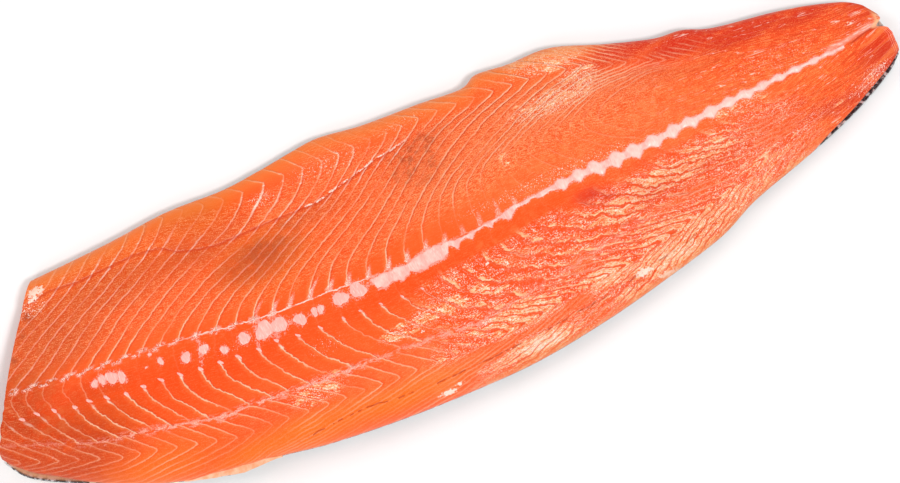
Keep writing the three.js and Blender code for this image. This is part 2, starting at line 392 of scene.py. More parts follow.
# ------------------------------------------------------------ seams of the flesh


def station(midline):
    """A place on the midline as a share of the way from the first station to the last."""
    return (midline - FIRST_STATION) / ALL_STATIONS


def seam_shift(table, midline, level):
    """How far seams that start at midline have run towards the tail, at one level."""
    rows = np.array([through(row, station(midline)) for row in table])
    return through(rows, np.full(1, level))[0]


def table_at(table, row, column):
    """Reads a table between its numbers."""
    row = np.clip(row, 0, table.shape[0] - 1.001)
    column = np.clip(column, 0, table.shape[1] - 1.001)
    i, j = row.astype(int), column.astype(int)
    a, b = row - i, column - j
    near = lerp(table[i, j], table[i, j + 1], b)
    far = lerp(table[i + 1, j], table[i + 1, j + 1], b)
    return lerp(near, far, a)


def trace_seams(x, level, levels, shift, height):
    """For points at x on a level: where on the midline their seam starts, and how far along the
    seam they are. shift(start, level) says how far a seam has run towards the tail, and
    height(x, level) is the y of a level."""
    stations = np.arange(-420.0, 420.0)
    places = np.arange(-300.0, 301.0)
    starts, runs = [], []
    run = np.zeros(len(stations))
    last_x = last_y = None
    for step in levels:
        reached = np.maximum.accumulate(stations + shift(stations, step))
        y = height(reached, step)
        if last_x is not None:
            run = run + np.hypot(reached - last_x, y - last_y)
        last_x, last_y = reached, y
        starts.append(np.interp(places, reached, stations))
        runs.append(np.interp(places, reached, run))
    row = np.interp(level, levels, np.arange(len(levels)))
    column = x - places[0]
    return table_at(np.array(starts), row, column), table_at(np.array(runs), row, column)


def flakes(x, tail_length):
    """The number of the flake that starts at x, with part flakes."""
    from_start = x - FLAKE_START
    return np.where(from_start < 0, from_start / FLAKE_HEAD, from_start / tail_length)


def folded_seams(x, y, lines, shift, lowest, steps, tail_length):
    """Flake numbers and runs of muscle that folds over a line. lines(x) gives the y of its inner
    line, its fold and its edge, where the level is 0, 1 and 2."""

    def height(at, level):
        inner, fold, edge = lines(at)
        return inner + (fold - inner) * min(level, 1) + (edge - fold) * max(level - 1, 0)

    inner, fold, edge = lines(x)
    to_fold = np.clip((y - inner) / (fold - inner), lowest, 1)
    level = to_fold + np.clip((y - fold) / (edge - fold), 0, 1)
    start, run = trace_seams(x, level, np.linspace(lowest, 2, steps), shift, height)
    return flakes(start, tail_length), run


def belly_seams(x, y):
    def lines(at):
        midline, fold = along_points(MIDLINE, at), along_points(BELLY_FOLD, at)
        return midline, fold, np.maximum(along_points(BELLY_EDGE, at), fold + 3)

    def shift(start, level):
        beyond = through(BELLY_SWEEP_BACK, station(start)) * max(level - 1, 0)
        return seam_shift(BELLY_SEAMS, start, min(level, 1)) - beyond

    return folded_seams(x, y, lines, shift, 0, 61, FLAKE_TAIL)


def loin_seams(x, y):
    def shift(start, level):
        inside = seam_shift(LOIN_SEAMS, start, min(level, 1))
        slope = (inside - seam_shift(LOIN_SEAMS, start, 0.9)) * 10
        return inside + max(level - 1, 0) * slope

    def height(at, level):
        return lerp(along_points(MIDLINE, at), along_points(FASCIA, at), level)

    midline, fascia = along_points(MIDLINE, x), along_points(FASCIA, x)
    level = np.clip((midline - y) / (midline - fascia), 0, LOIN_OVERLAP)
    start, run = trace_seams(x, level, np.linspace(0, LOIN_OVERLAP, 47), shift, height)
    return flakes(start, FLAKE_TAIL), run


def back_seams(x, y):
    def lines(at):
        fascia, fold = along_points(FASCIA, at), along_points(BACK_FOLD, at)
        return fascia, fold, np.minimum(along_points(BACK_EDGE, at), fold - 4)

    def shift(start, level):
        inner = through(BACK_SWEEP_IN, station(start)) * max(1 - level, 0)
        outer = through(BACK_SWEEP_OUT, station(start)) * max(level - 1, 0)
        tip = BACK_TIP - BACK_TIP * min(abs(level - 1) / 0.15, 1)
        return -inner - outer - tip

    return folded_seams(x, y, lines, shift, -BACK_OVERLAP, 101, BACK_FLAKE_TAIL)


# The maps above are drawn as seen from the stage's camera, which leans LEAN away from upright,
# so a raised surface reads them a little further on, in the direction LEAN_TOWARDS.

AZIMUTH = math.radians(-24.4)
ELEVATION = math.radians(80)
LEAN = math.tan(math.radians(10))  # what 80 degrees leaves to upright
LEAN_TOWARDS = (-math.sin(AZIMUTH), math.cos(AZIMUTH))
LEAN_BASE = 8  # height where nothing is displaced


def as_seen(x, y, height):
    reach = LEAN * (height - LEAN_BASE)
    return x + LEAN_TOWARDS[0] * reach, y + LEAN_TOWARDS[1] * reach


class Chart:
    """Numbers on an even grid over the fillet's plan, read smoothly between its points."""

    XS = np.arange(-290.0, 291.0)
    YS = np.arange(-100.0, 101.0)

    def __init__(self, values):
        self.values = values

    def at(self, x, y):
        return table_at(self.values, y - self.YS[0], x - self.XS[0])

    def spacing(self):
        """The distance over which the numbers change by one."""
        down, right = np.gradient(self.values)
        return Chart(np.clip(1 / np.maximum(np.hypot(down, right), 0.02), *SEAM_GAPS))


class Muscle:
    """One family of seams: the flake number, the distance between two seams, and the distance
    run along a seam. Each of the starts has a seam of its own."""

    def __init__(self, rule, wander, seed, starts=()):
        x, y = np.meshgrid(Chart.XS, Chart.YS)
        number, run = rule(x, y)
        waves = ripple(x, y, 22, seed) * 0.6 + ripple(x, y, 8, seed + 1) * 0.4
        number = number + waves * wander
        if starts:
            found = Chart(number).at(*np.array(starts, float).T)
            wanted = np.round(found[0]) + np.arange(len(starts))
            number = number + np.interp(number, found, wanted - found)
        self.number = Chart(number)
        self.gap = self.number.spacing()
        self.run = Chart(run)

    def seam_distance(self, x, y):
        """Distance to the nearest seam, towards the tail counted positive."""
        number = self.number.at(x, y)
        return (np.mod(number + 0.5, 1) - 0.5) * self.gap.at(x, y)


BELLY = Muscle(belly_seams, 0.1, 11)
LOIN = Muscle(loin_seams, 0.17, 12, PIN_BONES)
BACK = Muscle(back_seams, 0.2, 13)
MUSCLES = {"belly": BELLY, "loin": LOIN, "back": BACK}


# ------------------------------------------------------- what the flesh looks like

# Soft oval patches: (x, y, half length, half width, strength)

GLARE = [  # painted glare on crumpled wet flesh, partly a cream film of fat
    (-100, -46, 17, 8, 0.36), (143, -54, 10, 4, 0.6), (-22, -33, 17, 4, 0.6),
    (-47, -36, 12, 4, 0.5), (5, -33, 14, 8, 0.4), (16, -54, 22, 7, 1.1), (68, -54, 14, 6, 1.5),
    (88, -24, 18, 7, 0.8), (120, -18, 24, 7, 0.8), (146, -14, 18, 6, 0.6), (105, -59, 24, 8, 1.6),
    (128, -50, 26, 8, 1.2), (155, -43, 24, 6, 0.6), (173, -32, 15, 6, 0.5), (106, -43, 18, 6, 0.7),
    (250, -14, 8, 3, 0.4), (20, -73, 18, 5, 2.2), (-5, -74, 12, 3, 0.6), (78, -68, 12, 4, 0.8),
    (82, 46, 30, 7, 0.4), (100, 52, 12, 8, 0.45), (92, 68, 18, 6, 0.75), (75, 73, 10, 3, 0.8),
    (43, 28, 4, 9, 0.2), (215, -18, 30, 5, 0.15), (-31, -58, 16, 7, 0.15), (193, -41, 14, 2.5, 0.8),
    (206, -27, 12, 5, 0.1), (172, 2, 20, 4, 0.35),
]
DULL = [  # drier flesh
    (-262, 5, 30, 28, 1.2), (-225, 40, 40, 26, 0.8), (-185, 52, 55, 16, 0.7),
    (-232, -20, 44, 18, 1), (-102, 32, 28, 13, 1), (-130, 52, 40, 14, 0.7), (-72, 44, 32, 7, 0.5),
    (-250, 20, 30, 30, 0.9), (-215, 3, 34, 9, 0.5), (-240, -22, 50, 24, 1.1),
    (-130, 66, 26, 9, 0.5),
]
GREY = [  # smudges; the last three darken the nicks in the head cut
    (-2, 46, 16, 12, 0.8), (8, 55, 12, 6, 0.7), (-86, 40, 16, 7, 0.4), (-97, 36, 10, 6, 0.6),
    (-228.5, 54, 3, 3, 1.4), (-233.5, 48, 2.5, 3, 1), (-243, 36, 4, 2, 0.8),
]
BLOOD = [(76, -10, 9, 5, 0.9), (84, -13, 7, 5, 0.6), (110, -24, 16, 6, 0.3), (118, -5, 14, 4, 0.2)]
GOLD = [  # yellower flesh
    (-225, -52, 60, 18, 1), (-120, -66, 60, 11, 1), (-60, -68, 40, 8, 0.9), (-185, 62, 60, 10, 0.7),
    (-125, 66, 24, 9, 0.9), (60, -68, 50, 4, 0.4), (-98, 32, 26, 18, 0.9), (-235, -20, 44, 16, 0.7),
    (-102, 34, 24, 12, 0.5),
]
PALE = [
    (30, 30, 60, 25, 0.8), (-135, -57, 22, 7, 0.4), (80, 45, 60, 18, 0.8), (60, 15, 60, 10, 0.25),
    (-56, 64, 34, 10, 1), (-39, -70, 10, 8, 1.2), (-83, 56, 12, 8, 0.8), (-10, 68, 40, 9, 0.3),
    (100, 22, 60, 18, 0.6), (10, -20, 60, 14, 0.2), (60, -30, 60, 18, 0.5), (150, 5, 80, 22, 0.5),
    (40, 10, 40, 12, 0.5), (205, -38, 24, 6, 1), (-180, 30, 60, 20, 0.3),
]
DEEP = [
    (-165, -12, 95, 20, 0.9), (-30, -14, 60, 9, 0.8), (-80, 62, 70, 9, 0.6), (60, -8, 60, 7, 0.5),
    (-160, 25, 60, 18, 0.2), (210, 25, 50, 12, 0.8), (160, 45, 40, 9, 0.8), (215, -12, 50, 8, 0.7),
    (-215, 4, 26, 8, 0.8), (255, -2, 20, 9, 0.9), (-235, -15, 50, 18, 1), (-160, -48, 90, 16, 0.8),
]
FAT = [  # fat left on the flesh
    (-218.5, 66, 6, 2.6, 1), (-222, 62.5, 3, 3, 0.8), (-37, -76.5, 5.5, 1.9, 1),
    (-30, -74.5, 3, 1.2, 0.8), (86, -60.5, 6, 2.4, 1), (98, -67, 7, 1.8, 1),
    (252, 18.6, 5, 0.9, 0.5), (260, 17.6, 3, 0.9, 0.5), (268, 20, 2, 6, 1),
    (20.6, -25.3, 1.1, 1, 1.2), (10.5, -20.8, 0.9, 1.2, 1), (-1, -50, 5, 1.6, 0.7),
    (-35, -40, 3, 1, 0.5),
]
MOTTLED = [  # where the flesh is blotchy
    (60, 25, 60, 18, 0.9), (120, 22, 60, 16, 0.9), (190, 18, 50, 12, 0.7), (30, -15, 50, 10, 0.8),
    (-40, 15, 40, 10, 0.6), (110, -12, 60, 10, 0.7), (180, -8, 50, 12, 0.6), (-95, 35, 30, 16, 0.5),
    (100, -45, 60, 14, 0.5), (-60, -55, 60, 8, 0.4), (-240, 0, 25, 25, 0.5),
]
GLINT_SPOTS = [  # painted glints
    (-48, 65, 26, 7, 0.35), (-87, 62, 8, 5, 0.6), (0, 70, 20, 5, 0.3), (-86, -26, 12, 6, 0.3),
    (-120, -6, 30, 4, 0.25), (255, -12, 13, 4, 0.7), (244, -17, 9, 3, 0.6), (236, -19, 8, 3, 0.5),
    (251, 18.8, 8, 1.8, 0.3), (200, 18, 40, 10, 0.25), (60, 8, 60, 4, 0.4), (75, 70, 14, 5, 0.5),
    (90, -70, 40, 2.5, 0.4), (-225, 58, 10, 6, 0.6),
]
KNOTS = [  # where seams are knotted with fat, partly painted glints
    (-50, 66, 50, 7, 1), (-180, 66, 40, 6, 0.7), (-20, -34, 45, 9, 0.8), (-245, -25, 30, 18, 0.5),
]
QUIET = [  # where seams hardly show
    (-141, -57, 34, 10, 0.75), (-80, -72, 45, 9, 0.6), (-125, 65, 16, 8, 0.8),
    (-100, -60, 20, 8, 0.4), (-205, 66, 14, 6, 0.3), (152, 54, 28, 8, 1.3), (-102, 34, 26, 13, 0.5),
    (-136, 52, 24, 9, 0.35), (-240, -9, 16, 9, 0.45),
]
CALM = [  # where rucked flakes lie flat
    (57, -42, 9, 7, 0.7), (28, -24, 9, 5, 0.6), (68, -11, 12, 5, 0.8), (115, -33, 16, 3.5, 0.7),
    (160, -33, 14, 3, 0.5), (52, -72, 16, 5, 0.6), (49, -60, 12, 6, 0.6), (131, -31, 22, 5, 0.7),
    (180, -14, 18, 6, 0.7), (100, -9, 30, 4, 0.5), (48, -70, 14, 6, 0.5),
]
WHITE_ENDS = [  # where seams end above the ledge in white fat, with painted glints along them
    (-89, 61, 9, 8, 1.2), (-76, 57, 5, 5, 0.9), (-127, 57, 4, 5, 0.7), (-141, 61, 4, 5, 0.8),
    (-181, 69, 4, 6, 0.9), (-193, 70, 3, 5, 0.7), (-206, 68, 4, 5, 0.8),
]
TAIL_SHADE = [  # dark red meat, partly painted shade where the tail's edges face away from the light
    (132, 58, 28, 9, 1.1), (165, 47, 28, 8, 1.3), (195, 39, 30, 7, 1.3), (230, 34, 28, 6, 1),
    (256, 27, 14, 7, 0.6), (233, -21, 34, 5, 0.8), (255, -11, 14, 5, 0.6), (258, -3, 16, 8, 0.75),
    (255, 18, 14, 6, 0.4), (222, 24, 22, 6, 0.3),
]
EVEN_FLESH = [(-102, 32, 30, 14, 0.7), (-135, 53, 26, 10, 0.4)]  # without grain
PATCHES = {  # those that the finish reads, by name
    "glare": GLARE, "dull": DULL, "grey": GREY, "blood": BLOOD, "gold": GOLD, "pale": PALE,
    "deep": DEEP, "fat": FAT, "mottled": MOTTLED, "glint_spots": GLINT_SPOTS, "knots": KNOTS,
    "tail_shade": TAIL_SHADE,
}

# The cut surface's small ups and downs

SEAM_DEPTHS = (0.2, 0.3, 0.16)  # of the grooves in belly, loin and back
SEAM_HALF_WIDTH = 1.1
GROOVE_FADE = 12  # length over which a groove ends


def beside_line(x, y, line, half_width):
    """1 on a line given by (x, y) points, falling off over half_width, 0 past its ends."""
    start, end = line[0][0], line[-1][0]
    inside = rise(x, start, start + 5) * fall(x, end - 1, end + 1)
    return inside * bell(y - along_points(line, x), half_width)


def pin_line(x):
    """The y of the row of pin bones."""
    return along_points(MIDLINE, x) - lerp(18.5, 16, rise(x, -190, -60))


def flesh_grain(x, y):
    """How grainy the flesh is, from 0 for smooth to 1."""
    midline, fold, fascia = (along_points(line, x) for line in (MIDLINE, BELLY_FOLD, FASCIA))
    towards_tail = rise(x, -60, 0)
    start, full = lerp(1, 8, towards_tail), lerp(16, 27, towards_tail)
    wall = rise(y, midline + start, midline + full) * fall(y, fold - 7, fold - 1)
    wall = wall * lerp(0.55, 0.66, rise(x, -180, -60)) * lerp(1, 1.7, rise(x, -50, 10))
    wall = wall * (1 - patches(x, y, EVEN_FLESH))
    flap = rise(y, fold - 5, fold + 2) * rise(x, -80, -45) * 0.5
    wall = np.maximum(np.maximum(wall, flap), lerp(0.1, 0.5, rise(x, 0, 110)))
    inner_loin = 0.4 * rise(x, -60, 10) * rise(midline - y, 12, 22)
    loin = 0.12 + 0.2 * rise(x, 60, 100) + inner_loin + 0.2 * fall(x, -262, -235)
    back = 0.2 + 0.5 * rise(x, -60, 20)
    return np.where(y > midline, wall, np.where(y > fascia, loin, back))


def crumpled(x, y):
    """1 where the flakes of loin and back are rucked up, 0 elsewhere."""
    towards_tail = rise(x, 60, 110)
    start, full = lerp(10, 6, towards_tail), lerp(18, 20, towards_tail)
    rucked = rise(x, -50, 5) * fall(x, 182, 222)
    rucked = rucked * rise(along_points(MIDLINE, x) - y, start, full)
    packed = (y < along_points(FASCIA, x)) * fall(BACK.gap.at(x, y), 1.8, 3.2)
    return rucked * (1 - patches(x, y, CALM)) * (1 - packed)


def seam_marks(x, y):
    """How plainly the seams show: (belly, loin, back), from 0 to 1."""
    midline, quiet, pins = along_points(MIDLINE, x), along_points(QUIET_LINE, x), pin_line(x)
    before_tail = fall(x, 165, 215)
    belly = lerp(0.16, 1, rise(y, quiet - 7, quiet + 5)) * lerp(0.12, 1, fall(x, 150, 180))
    belly = belly * lerp(0.7, 1, rise(x, -240, -150)) * lerp(1, 0.5, rise(x, 95, 140))
    belly = belly * (1 - 0.35 * rise(y, midline + 4, midline + 16) * fall(x, 20, 80))
    bare = rise(y, pins - 1.5, pins + 1) * lerp(0.45, 0.95, rise(x, -240, -190))
    loin = (1 - bare) * lerp(0.1, 1, before_tail) * lerp(0.6, 1, rise(x, -250, -190))
    back = lerp(0.1, 0.75, before_tail) * lerp(0.45, 1, rise(x, -230, -100))
    back = back * lerp(0.45, 1, rise(BACK.gap.at(x, y), 1.8, 3.6))
    plain = 1 - patches(x, y, QUIET)
    return belly * plain, loin * plain, back * plain


def strand_lines(x, y):
    """A number that stays the same along the strands of the tail, which close in on the midline
    faster on the back side."""
    off, run = y - along_points(MIDLINE, x), x - 150
    return np.where(off > 0, off + run / 8, off - run / 4.5)


def seam_relief(x, y):
    """Height of the grooves between the flakes."""
    midline, fascia = along_points(MIDLINE, x), along_points(FASCIA, x)
    sides = (y > midline, (y <= midline) & (y > fascia), y <= fascia)
    height = np.zeros(np.shape(x))
    for muscle, shown, side, depth in zip(MUSCLES.values(), seam_marks(x, y), sides, SEAM_DEPTHS):
        groove = bell(muscle.seam_distance(x, y), SEAM_HALF_WIDTH)
        height = np.where(side, -depth * shown * groove, height)
    return height


def line_groove(x, y, line, depth, half_width, start, end):
    """A groove that follows a line and fades out at both ends."""
    near = bell(y - along_points(line, x), half_width)
    return -depth * near * rise(x, start, start + GROOVE_FADE) * fall(x, end - GROOVE_FADE, end)


def fine_relief(x, y):
    """The small ups and downs of the cut surface."""
    strands = ripple(strand_lines(x, y) * 6, x / 4, 9, 31) * 0.22 * rise(x, 120, 180)
    creases = ripple(x, y * 1.6, 3.2, 32) * 0.3 * patches(x, y, GLARE)
    swell = ripple(x, y, 26, 33) * 0.35 + ripple(x, y, 60, 34) * 0.5
    fascia = bell(y - along_points(FASCIA, x), 1.6) * fall(x, 80, 130)
    gristle = fascia * (0.35 + 0.35 * ripple(x, y, 4, 35))
    split = line_groove(x, y, MIDLINE, 0.9, 1.1, 236, 290)
    crack = line_groove(x, y, CRACK, 0.5, 0.7, -125, 134)
    return seam_relief(x, y) + strands + creases + swell + gristle + split + crack


# ------------------------------------------------------------------- modelling


def deselect_all():
    if bpy.context.mode != "OBJECT":
        bpy.ops.object.mode_set(mode="OBJECT")
    bpy.ops.object.select_all(action="DESELECT")


def make_active(piece):
    deselect_all()
    piece.select_set(True)
    bpy.context.view_layer.objects.active = piece


def new_sheet(name, columns, rows):
    """A flat sheet from (0, 0) to (1, 1) with columns by rows of points."""
    deselect_all()
    bpy.ops.mesh.primitive_grid_add(
        x_subdivisions=columns - 1, y_subdivisions=rows - 1, size=1, location=(0.5, 0.5, 0)
    )
    piece = bpy.context.object
    piece.name = piece.data.name = name
    bpy.ops.object.transform_apply(location=True, rotation=False, scale=False)
    return piece


def drop_rim(piece, rows):
    """Walls under a sheet's rim, rows high at one unit each, closed by a face at the bottom."""
    make_active(piece)
    bpy.ops.object.mode_set(mode="EDIT")
    bpy.ops.mesh.select_mode(type="EDGE")
    bpy.ops.mesh.select_all(action="SELECT")
    bpy.ops.mesh.region_to_loop()
    for _ in range(rows):
        bpy.ops.mesh.extrude_edges_move(TRANSFORM_OT_translate={"value": (0, 0, -1)})
    bpy.ops.mesh.edge_face_add()
    bpy.ops.mesh.select_all(action="SELECT")
    bpy.ops.mesh.normals_make_consistent(inside=False)
    bpy.ops.object.mode_set(mode="OBJECT")


def points_of(piece):
    points = np.empty(len(piece.data.vertices) * 3)
    piece.data.vertices.foreach_get("co", points)
    return points.reshape(-1, 3)


def set_points(piece, points):
    """Moves a piece's points to places in millimetres."""
    piece.data.vertices.foreach_set("co", (np.asarray(points) * MM).ravel())
    piece.data.update()


def thicken(piece, thickness, offset=-1.0):
    """Gives a sheet a wall. With offset -1 the sheet stays the outer face."""
    make_active(piece)
    wall = piece.modifiers.new("Wall", "SOLIDIFY")
    wall.thickness = thickness * MM
    wall.offset = offset
    wall.use_even_offset = False
    bpy.ops.object.modifier_apply(modifier=wall.name)


def smooth_shading(piece, degrees=50):
    make_active(piece)
    bpy.ops.object.shade_smooth_by_angle(angle=math.radians(degrees))


def mark(piece, name, values):
    """Keeps one number for each point of a piece, for its finish to read."""
    attribute = piece.data.attributes.new(name, "FLOAT", "POINT")
    attribute.data.foreach_set("value", np.asarray(values, np.float32))


def finish_piece(piece, material, nodes=()):
    piece.data.materials.clear()
    piece.data.materials.append(material)
    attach(piece, "root")
    if nodes:
        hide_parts(*nodes)


class Ground:
    """The finished flesh, asked for its height under small pieces."""

    def __init__(self, piece):
        self.tree = BVHTree.FromPolygons(
            [v.co for v in piece.data.vertices], [p.vertices for p in piece.data.polygons]
        )

    def height(self, x, y):
        heights = []
        for at_x, at_y in zip(np.ravel(x), np.ravel(y)):
            hit = self.tree.ray_cast(Vector((at_x * MM, at_y * MM, 1)), Vector((0, 0, -1)))[0]
            if hit is None:
                raise ValueError(f"nothing lies under x {at_x:.1f}, y {at_y:.1f}")
            heights.append(hit.z / MM)
        return np.array(heights).reshape(np.shape(x))

    def under(self, x, y):
        """Where a point of the maps lies on the flesh: (x, y, height)."""
        at_x, at_y = x, y
        for _ in range(3):
            height = self.height(at_x, at_y)
            seen = as_seen(at_x, at_y, height)
            at_x, at_y = at_x + x - seen[0], at_y + y - seen[1]
        return at_x, at_y, self.height(at_x, at_y)


# --------------------------------------------------------------------- shading


class Number:
    """A shader socket that holds a number and can be used in Python sums."""

    def __init__(self, finish, socket):
        self.finish, self.socket = finish, socket

    def math(self, operation, *values, clamp=False):
        settings = {"operation": operation, "use_clamp": clamp}
        return self.finish.number("ShaderNodeMath", settings, dict(enumerate(values)))

    def __add__(self, other):
        return self.math("ADD", self, other)

    def __sub__(self, other):
        return self.math("SUBTRACT", self, other)

    def __rsub__(self, other):
        return self.math("SUBTRACT", other, self)

    def __mul__(self, other):
        return self.math("MULTIPLY", self, other)

    def __truediv__(self, other):
        return self.math("DIVIDE", self, other)

    def __rtruediv__(self, other):
        return self.math("DIVIDE", other, self)

    def __neg__(self):
        return self.math("MULTIPLY", self, -1)

    def __abs__(self):
        return self.math("ABSOLUTE", self)

    __radd__, __rmul__ = __add__, __mul__

    def most(self, other):
        return self.math("MAXIMUM", self, other)

    def part(self):
        """What is left after the whole number is taken away."""
        return self.math("FRACT", self)

    def above(self, level):
        return self.math("GREATER_THAN", self, level)

    def limited(self):
        return self.math("ADD", self, 0, clamp=True)

    def rise(self, low, high):
        """0 below low, 1 above high and an S-shaped rise between them."""
        return self.finish.number(
            "ShaderNodeMapRange",
            {"interpolation_type": "SMOOTHSTEP"},
            {0: self, 1: low, 2: high},
        )

    def fall(self, low, high):
        return 1 - self.rise(low, high)

    def near(self, low, high):
        """1 within low of zero, on both sides, and 0 from high on."""
        return abs(self).fall(low, high)


class Finish:
    """A material under construction."""

    def __init__(self, name):
        self.material = bpy.data.materials.new(name)
        self.material.use_nodes = True
        self.tree = self.material.node_tree
        self.shader = self.tree.nodes["Principled BSDF"]
        self.place = self.node("ShaderNodeTexCoord", {}, {}).outputs["Object"]

    def node(self, kind, settings, inputs):
        """Adds a node, sets it up, and fills or links its sockets."""
        node = self.tree.nodes.new(kind)
        for name, value in settings.items():
            setattr(node, name, value)
        self.fill(node, inputs)
        return node

    def fill(self, node, inputs):
        for key, value in inputs.items():
            if isinstance(value, Number):
                value = value.socket
            if isinstance(value, bpy.types.NodeSocket):
                self.tree.links.new(value, node.inputs[key])
            else:
                node.inputs[key].default_value = value

    def number(self, kind, settings, inputs, output=0):
        return Number(self, self.node(kind, settings, inputs).outputs[output])

    def mark(self, name):
        """A number kept on the points of the piece."""
        return self.number("ShaderNodeAttribute", {"attribute_name": name}, {}, "Fac")

    def xyz(self):
        split = self.node("ShaderNodeSeparateXYZ", {}, {0: self.place})
        return [Number(self, split.outputs[k]) for k in range(3)]

    def vector(self, x, y, z=0.0):
        return self.node("ShaderNodeCombineXYZ", {}, {0: x, 1: y, 2: z}).outputs[0]

    def noise(self, size, vector=None, detail=2.0, roughness=0.5, distortion=0.0):
        """Cloudy noise about 0.5. size is in millimetres on Object coordinates, and in the
        vector's own units when one is given."""
        scale = 1 / size if vector else 1 / (size * MM)
        values = {"Scale": scale, "Detail": detail, "Roughness": roughness}
        values.update({"Vector": vector or self.place, "Distortion": distortion})
        return self.number("ShaderNodeTexNoise", {}, values, "Fac")

    def streaks(self, u, v, detail=2.0, roughness=0.5):
        """Noise about 0.5 on two numbers, with clouds about one unit long in both."""
        return self.noise(1.0, self.vector(u, v), detail, roughness)

    def cells(self, size, vector=None, feature="F1", randomness=1.0):
        scale = 1 / size if vector else 1 / (size * MM)
        values = {"Scale": scale, "Vector": vector or self.place, "Randomness": randomness}
        return self.number("ShaderNodeTexVoronoi", {"feature": feature}, values, "Distance")

    def mix(self, share, first, second):
        """Two colours mixed. The node itself keeps the share between 0 and 1."""
        rgba = [c if isinstance(c, bpy.types.NodeSocket) else (*c[:3], 1) for c in (first, second)]
        inputs = {"Factor": share, 6: rgba[0], 7: rgba[1]}
        return self.node("ShaderNodeMix", {"data_type": "RGBA"}, inputs).outputs[2]

    def bump(self, height, strength, distance):
        inputs = {"Height": height, "Strength": strength, "Distance": distance * MM}
        return self.node("ShaderNodeBump", {}, inputs).outputs[0]

    def done(self, **sockets):
        """Sets the shader's sockets, named with underscores for spaces, and gives the material."""
        self.fill(self.shader, {k.replace("_", " "): v for k, v in sockets.items()})
        return self.material


class FleshFinish(Finish):
    """The finish of the flesh, laid on coat by coat, with what several of its coats read."""

    def __init__(self, look):
        super().__init__("wet_flesh")
        self.tone = look.flesh_color
        self.x, self.y, self.z = self.xyz()
        self.spine, self.fascia = self.mark("from_midline"), self.mark("from_fascia")
        self.ledge, self.rim = self.mark("from_ledge"), self.mark("from_rim")
        self.glare, self.grain = self.mark("glare"), self.mark("grain")
        self.crumple, self.dull = self.mark("crumple"), self.mark("dull").limited()
        self.tail, self.tail_shade = self.mark("tail"), self.mark("tail_shade")
        self.pins, self.to_end = self.mark("pins"), self.mark("to_end")
        self.at_end = self.to_end.fall(12, 32)
        self.lay_out_flakes()

        flake, run, streak = self.flake, self.run, self.mark("streak")
        self.clouds = self.noise(16, detail=3)
        self.blots = self.noise(5, detail=3, roughness=0.6)
        self.speck = self.noise(0.55, detail=1, roughness=0.7)
        self.web = self.noise(1.0, detail=2, roughness=0.7, distortion=0.8)
        self.fibres = self.streaks(flake * 2.4, run / 0.66, roughness=0.7)
        self.worn = self.streaks(flake * 2.0, run / 4.5, 3, 0.65)
        self.flecks = self.streaks(flake * 0.9, run / 7, 3, 0.6)
        self.strands = self.streaks(streak / 0.55, self.x * 130, 3, 0.7)
        self.sheets = self.streaks(streak / 3.2, self.x * 34, 3, 0.6)
        self.long_lines = self.streaks(streak / 3.4, self.x * 16, roughness=0.6)
        hairs = self.streaks(flake * 7, run / 7, roughness=0.65)
        self.chatter = self.web * 0.3 + hairs * 0.35 + self.fibres * 0.35

    def lay_out_flakes(self):
        """Sets the flake's number and its share, the seam's name, the run along the seam, the
        distance to the nearest seam (off as a share of a flake, away in millimetres) and how
        plainly seams show. Each muscle has its own flakes."""
        on_belly = self.mark("from_midline").above(0)
        torn = (self.noise(6, detail=3) - 0.5) * 5
        on_back = (self.mark("from_fascia") + torn).fall(-0.01, 0.01)
        on_loin = (1 - on_belly) * (1 - on_back)

        def of_side(what):
            belly, loin, back = (self.mark(f"{name}_{what}") for name in MUSCLES)
            return belly * on_belly + loin * on_loin + back * on_back

        number, gap, run, shown = (of_side(what) for what in ("number", "gap", "run", "shown"))
        crumple = self.crumple * (1 - on_back * 0.45)
        wander = (self.noise(9, detail=1) - 0.5) * (1.1 + crumple * 4.5)
        rough = 0.6 + crumple * 1.3 + on_loin * 1.3
        wander = wander + (self.noise(3.2, detail=1) - 0.5) * rough
        wander = wander + (self.noise(1.2, detail=1) - 0.5) * 0.7
        self.flake, self.run = number + wander / gap, run
        self.share = self.flake.part()
        past_seam = (self.flake + 0.5).part()
        self.off = past_seam - 0.5
        self.away = self.off * gap
        self.seam_name = self.flake + 0.5 - past_seam
        uneven = self.streaks(self.seam_name * 3.7, run / 30, detail=1).rise(0.34, 0.6)
        self.shown = shown * (0.25 + uneven * 0.75)

    def paint(self, share, tone):
        """Lays a colour over the coats so far."""
        self.tone = self.mix(share, self.tone, tone)


def paint_tones(f, look):
    """Flesh between the seams: paler, deeper, yellower or duller by places, and blotchy."""
    uneven = 0.6 + f.clouds * 0.8
    f.paint(f.mark("pale") + (f.clouds - 0.5) * 0.9, look.pale_color)
    f.paint(f.mark("deep") * uneven, look.deep_color)
    f.paint(f.mark("gold") * uneven, look.gold_color)
    dull_tone = f.mix(f.spine.rise(-4, 4), look.dull_loin_color, look.dull_color)
    f.paint(f.dull * (0.55 + f.blots * 0.9), dull_tone)
    # Dark red meat along the tail's edges, partly painted shade where they face away from the
    # light.
    f.paint(f.tail_shade * (0.6 + f.blots * 0.8), look.tail_shade_color)
    # Painted shade across each flake, darkest just past its seam.
    f.paint(f.share.fall(0.0, 0.7) * f.shown * f.grain * 0.22, look.shade_color)
    mottle = (f.blots - 0.5) * f.mark("mottled")
    f.paint((mottle * 3.4).limited() * 0.6, look.tan_color)
    f.paint((mottle * -3.4).limited() * 0.6, look.deep_color)


def paint_fibres(f, look):
    """Fibres cross each flake, and specks of fat lie among them."""
    light = (f.fibres - 0.5) * 9 * f.grain + (f.speck - 0.5) * 7 * f.grain
    firm = 1 - f.tail * 0.7
    f.paint(light.limited() * 0.78 * firm, look.fibre_color)
    f.paint((-light - 0.1).limited() * 0.62 * firm, look.shade_color)


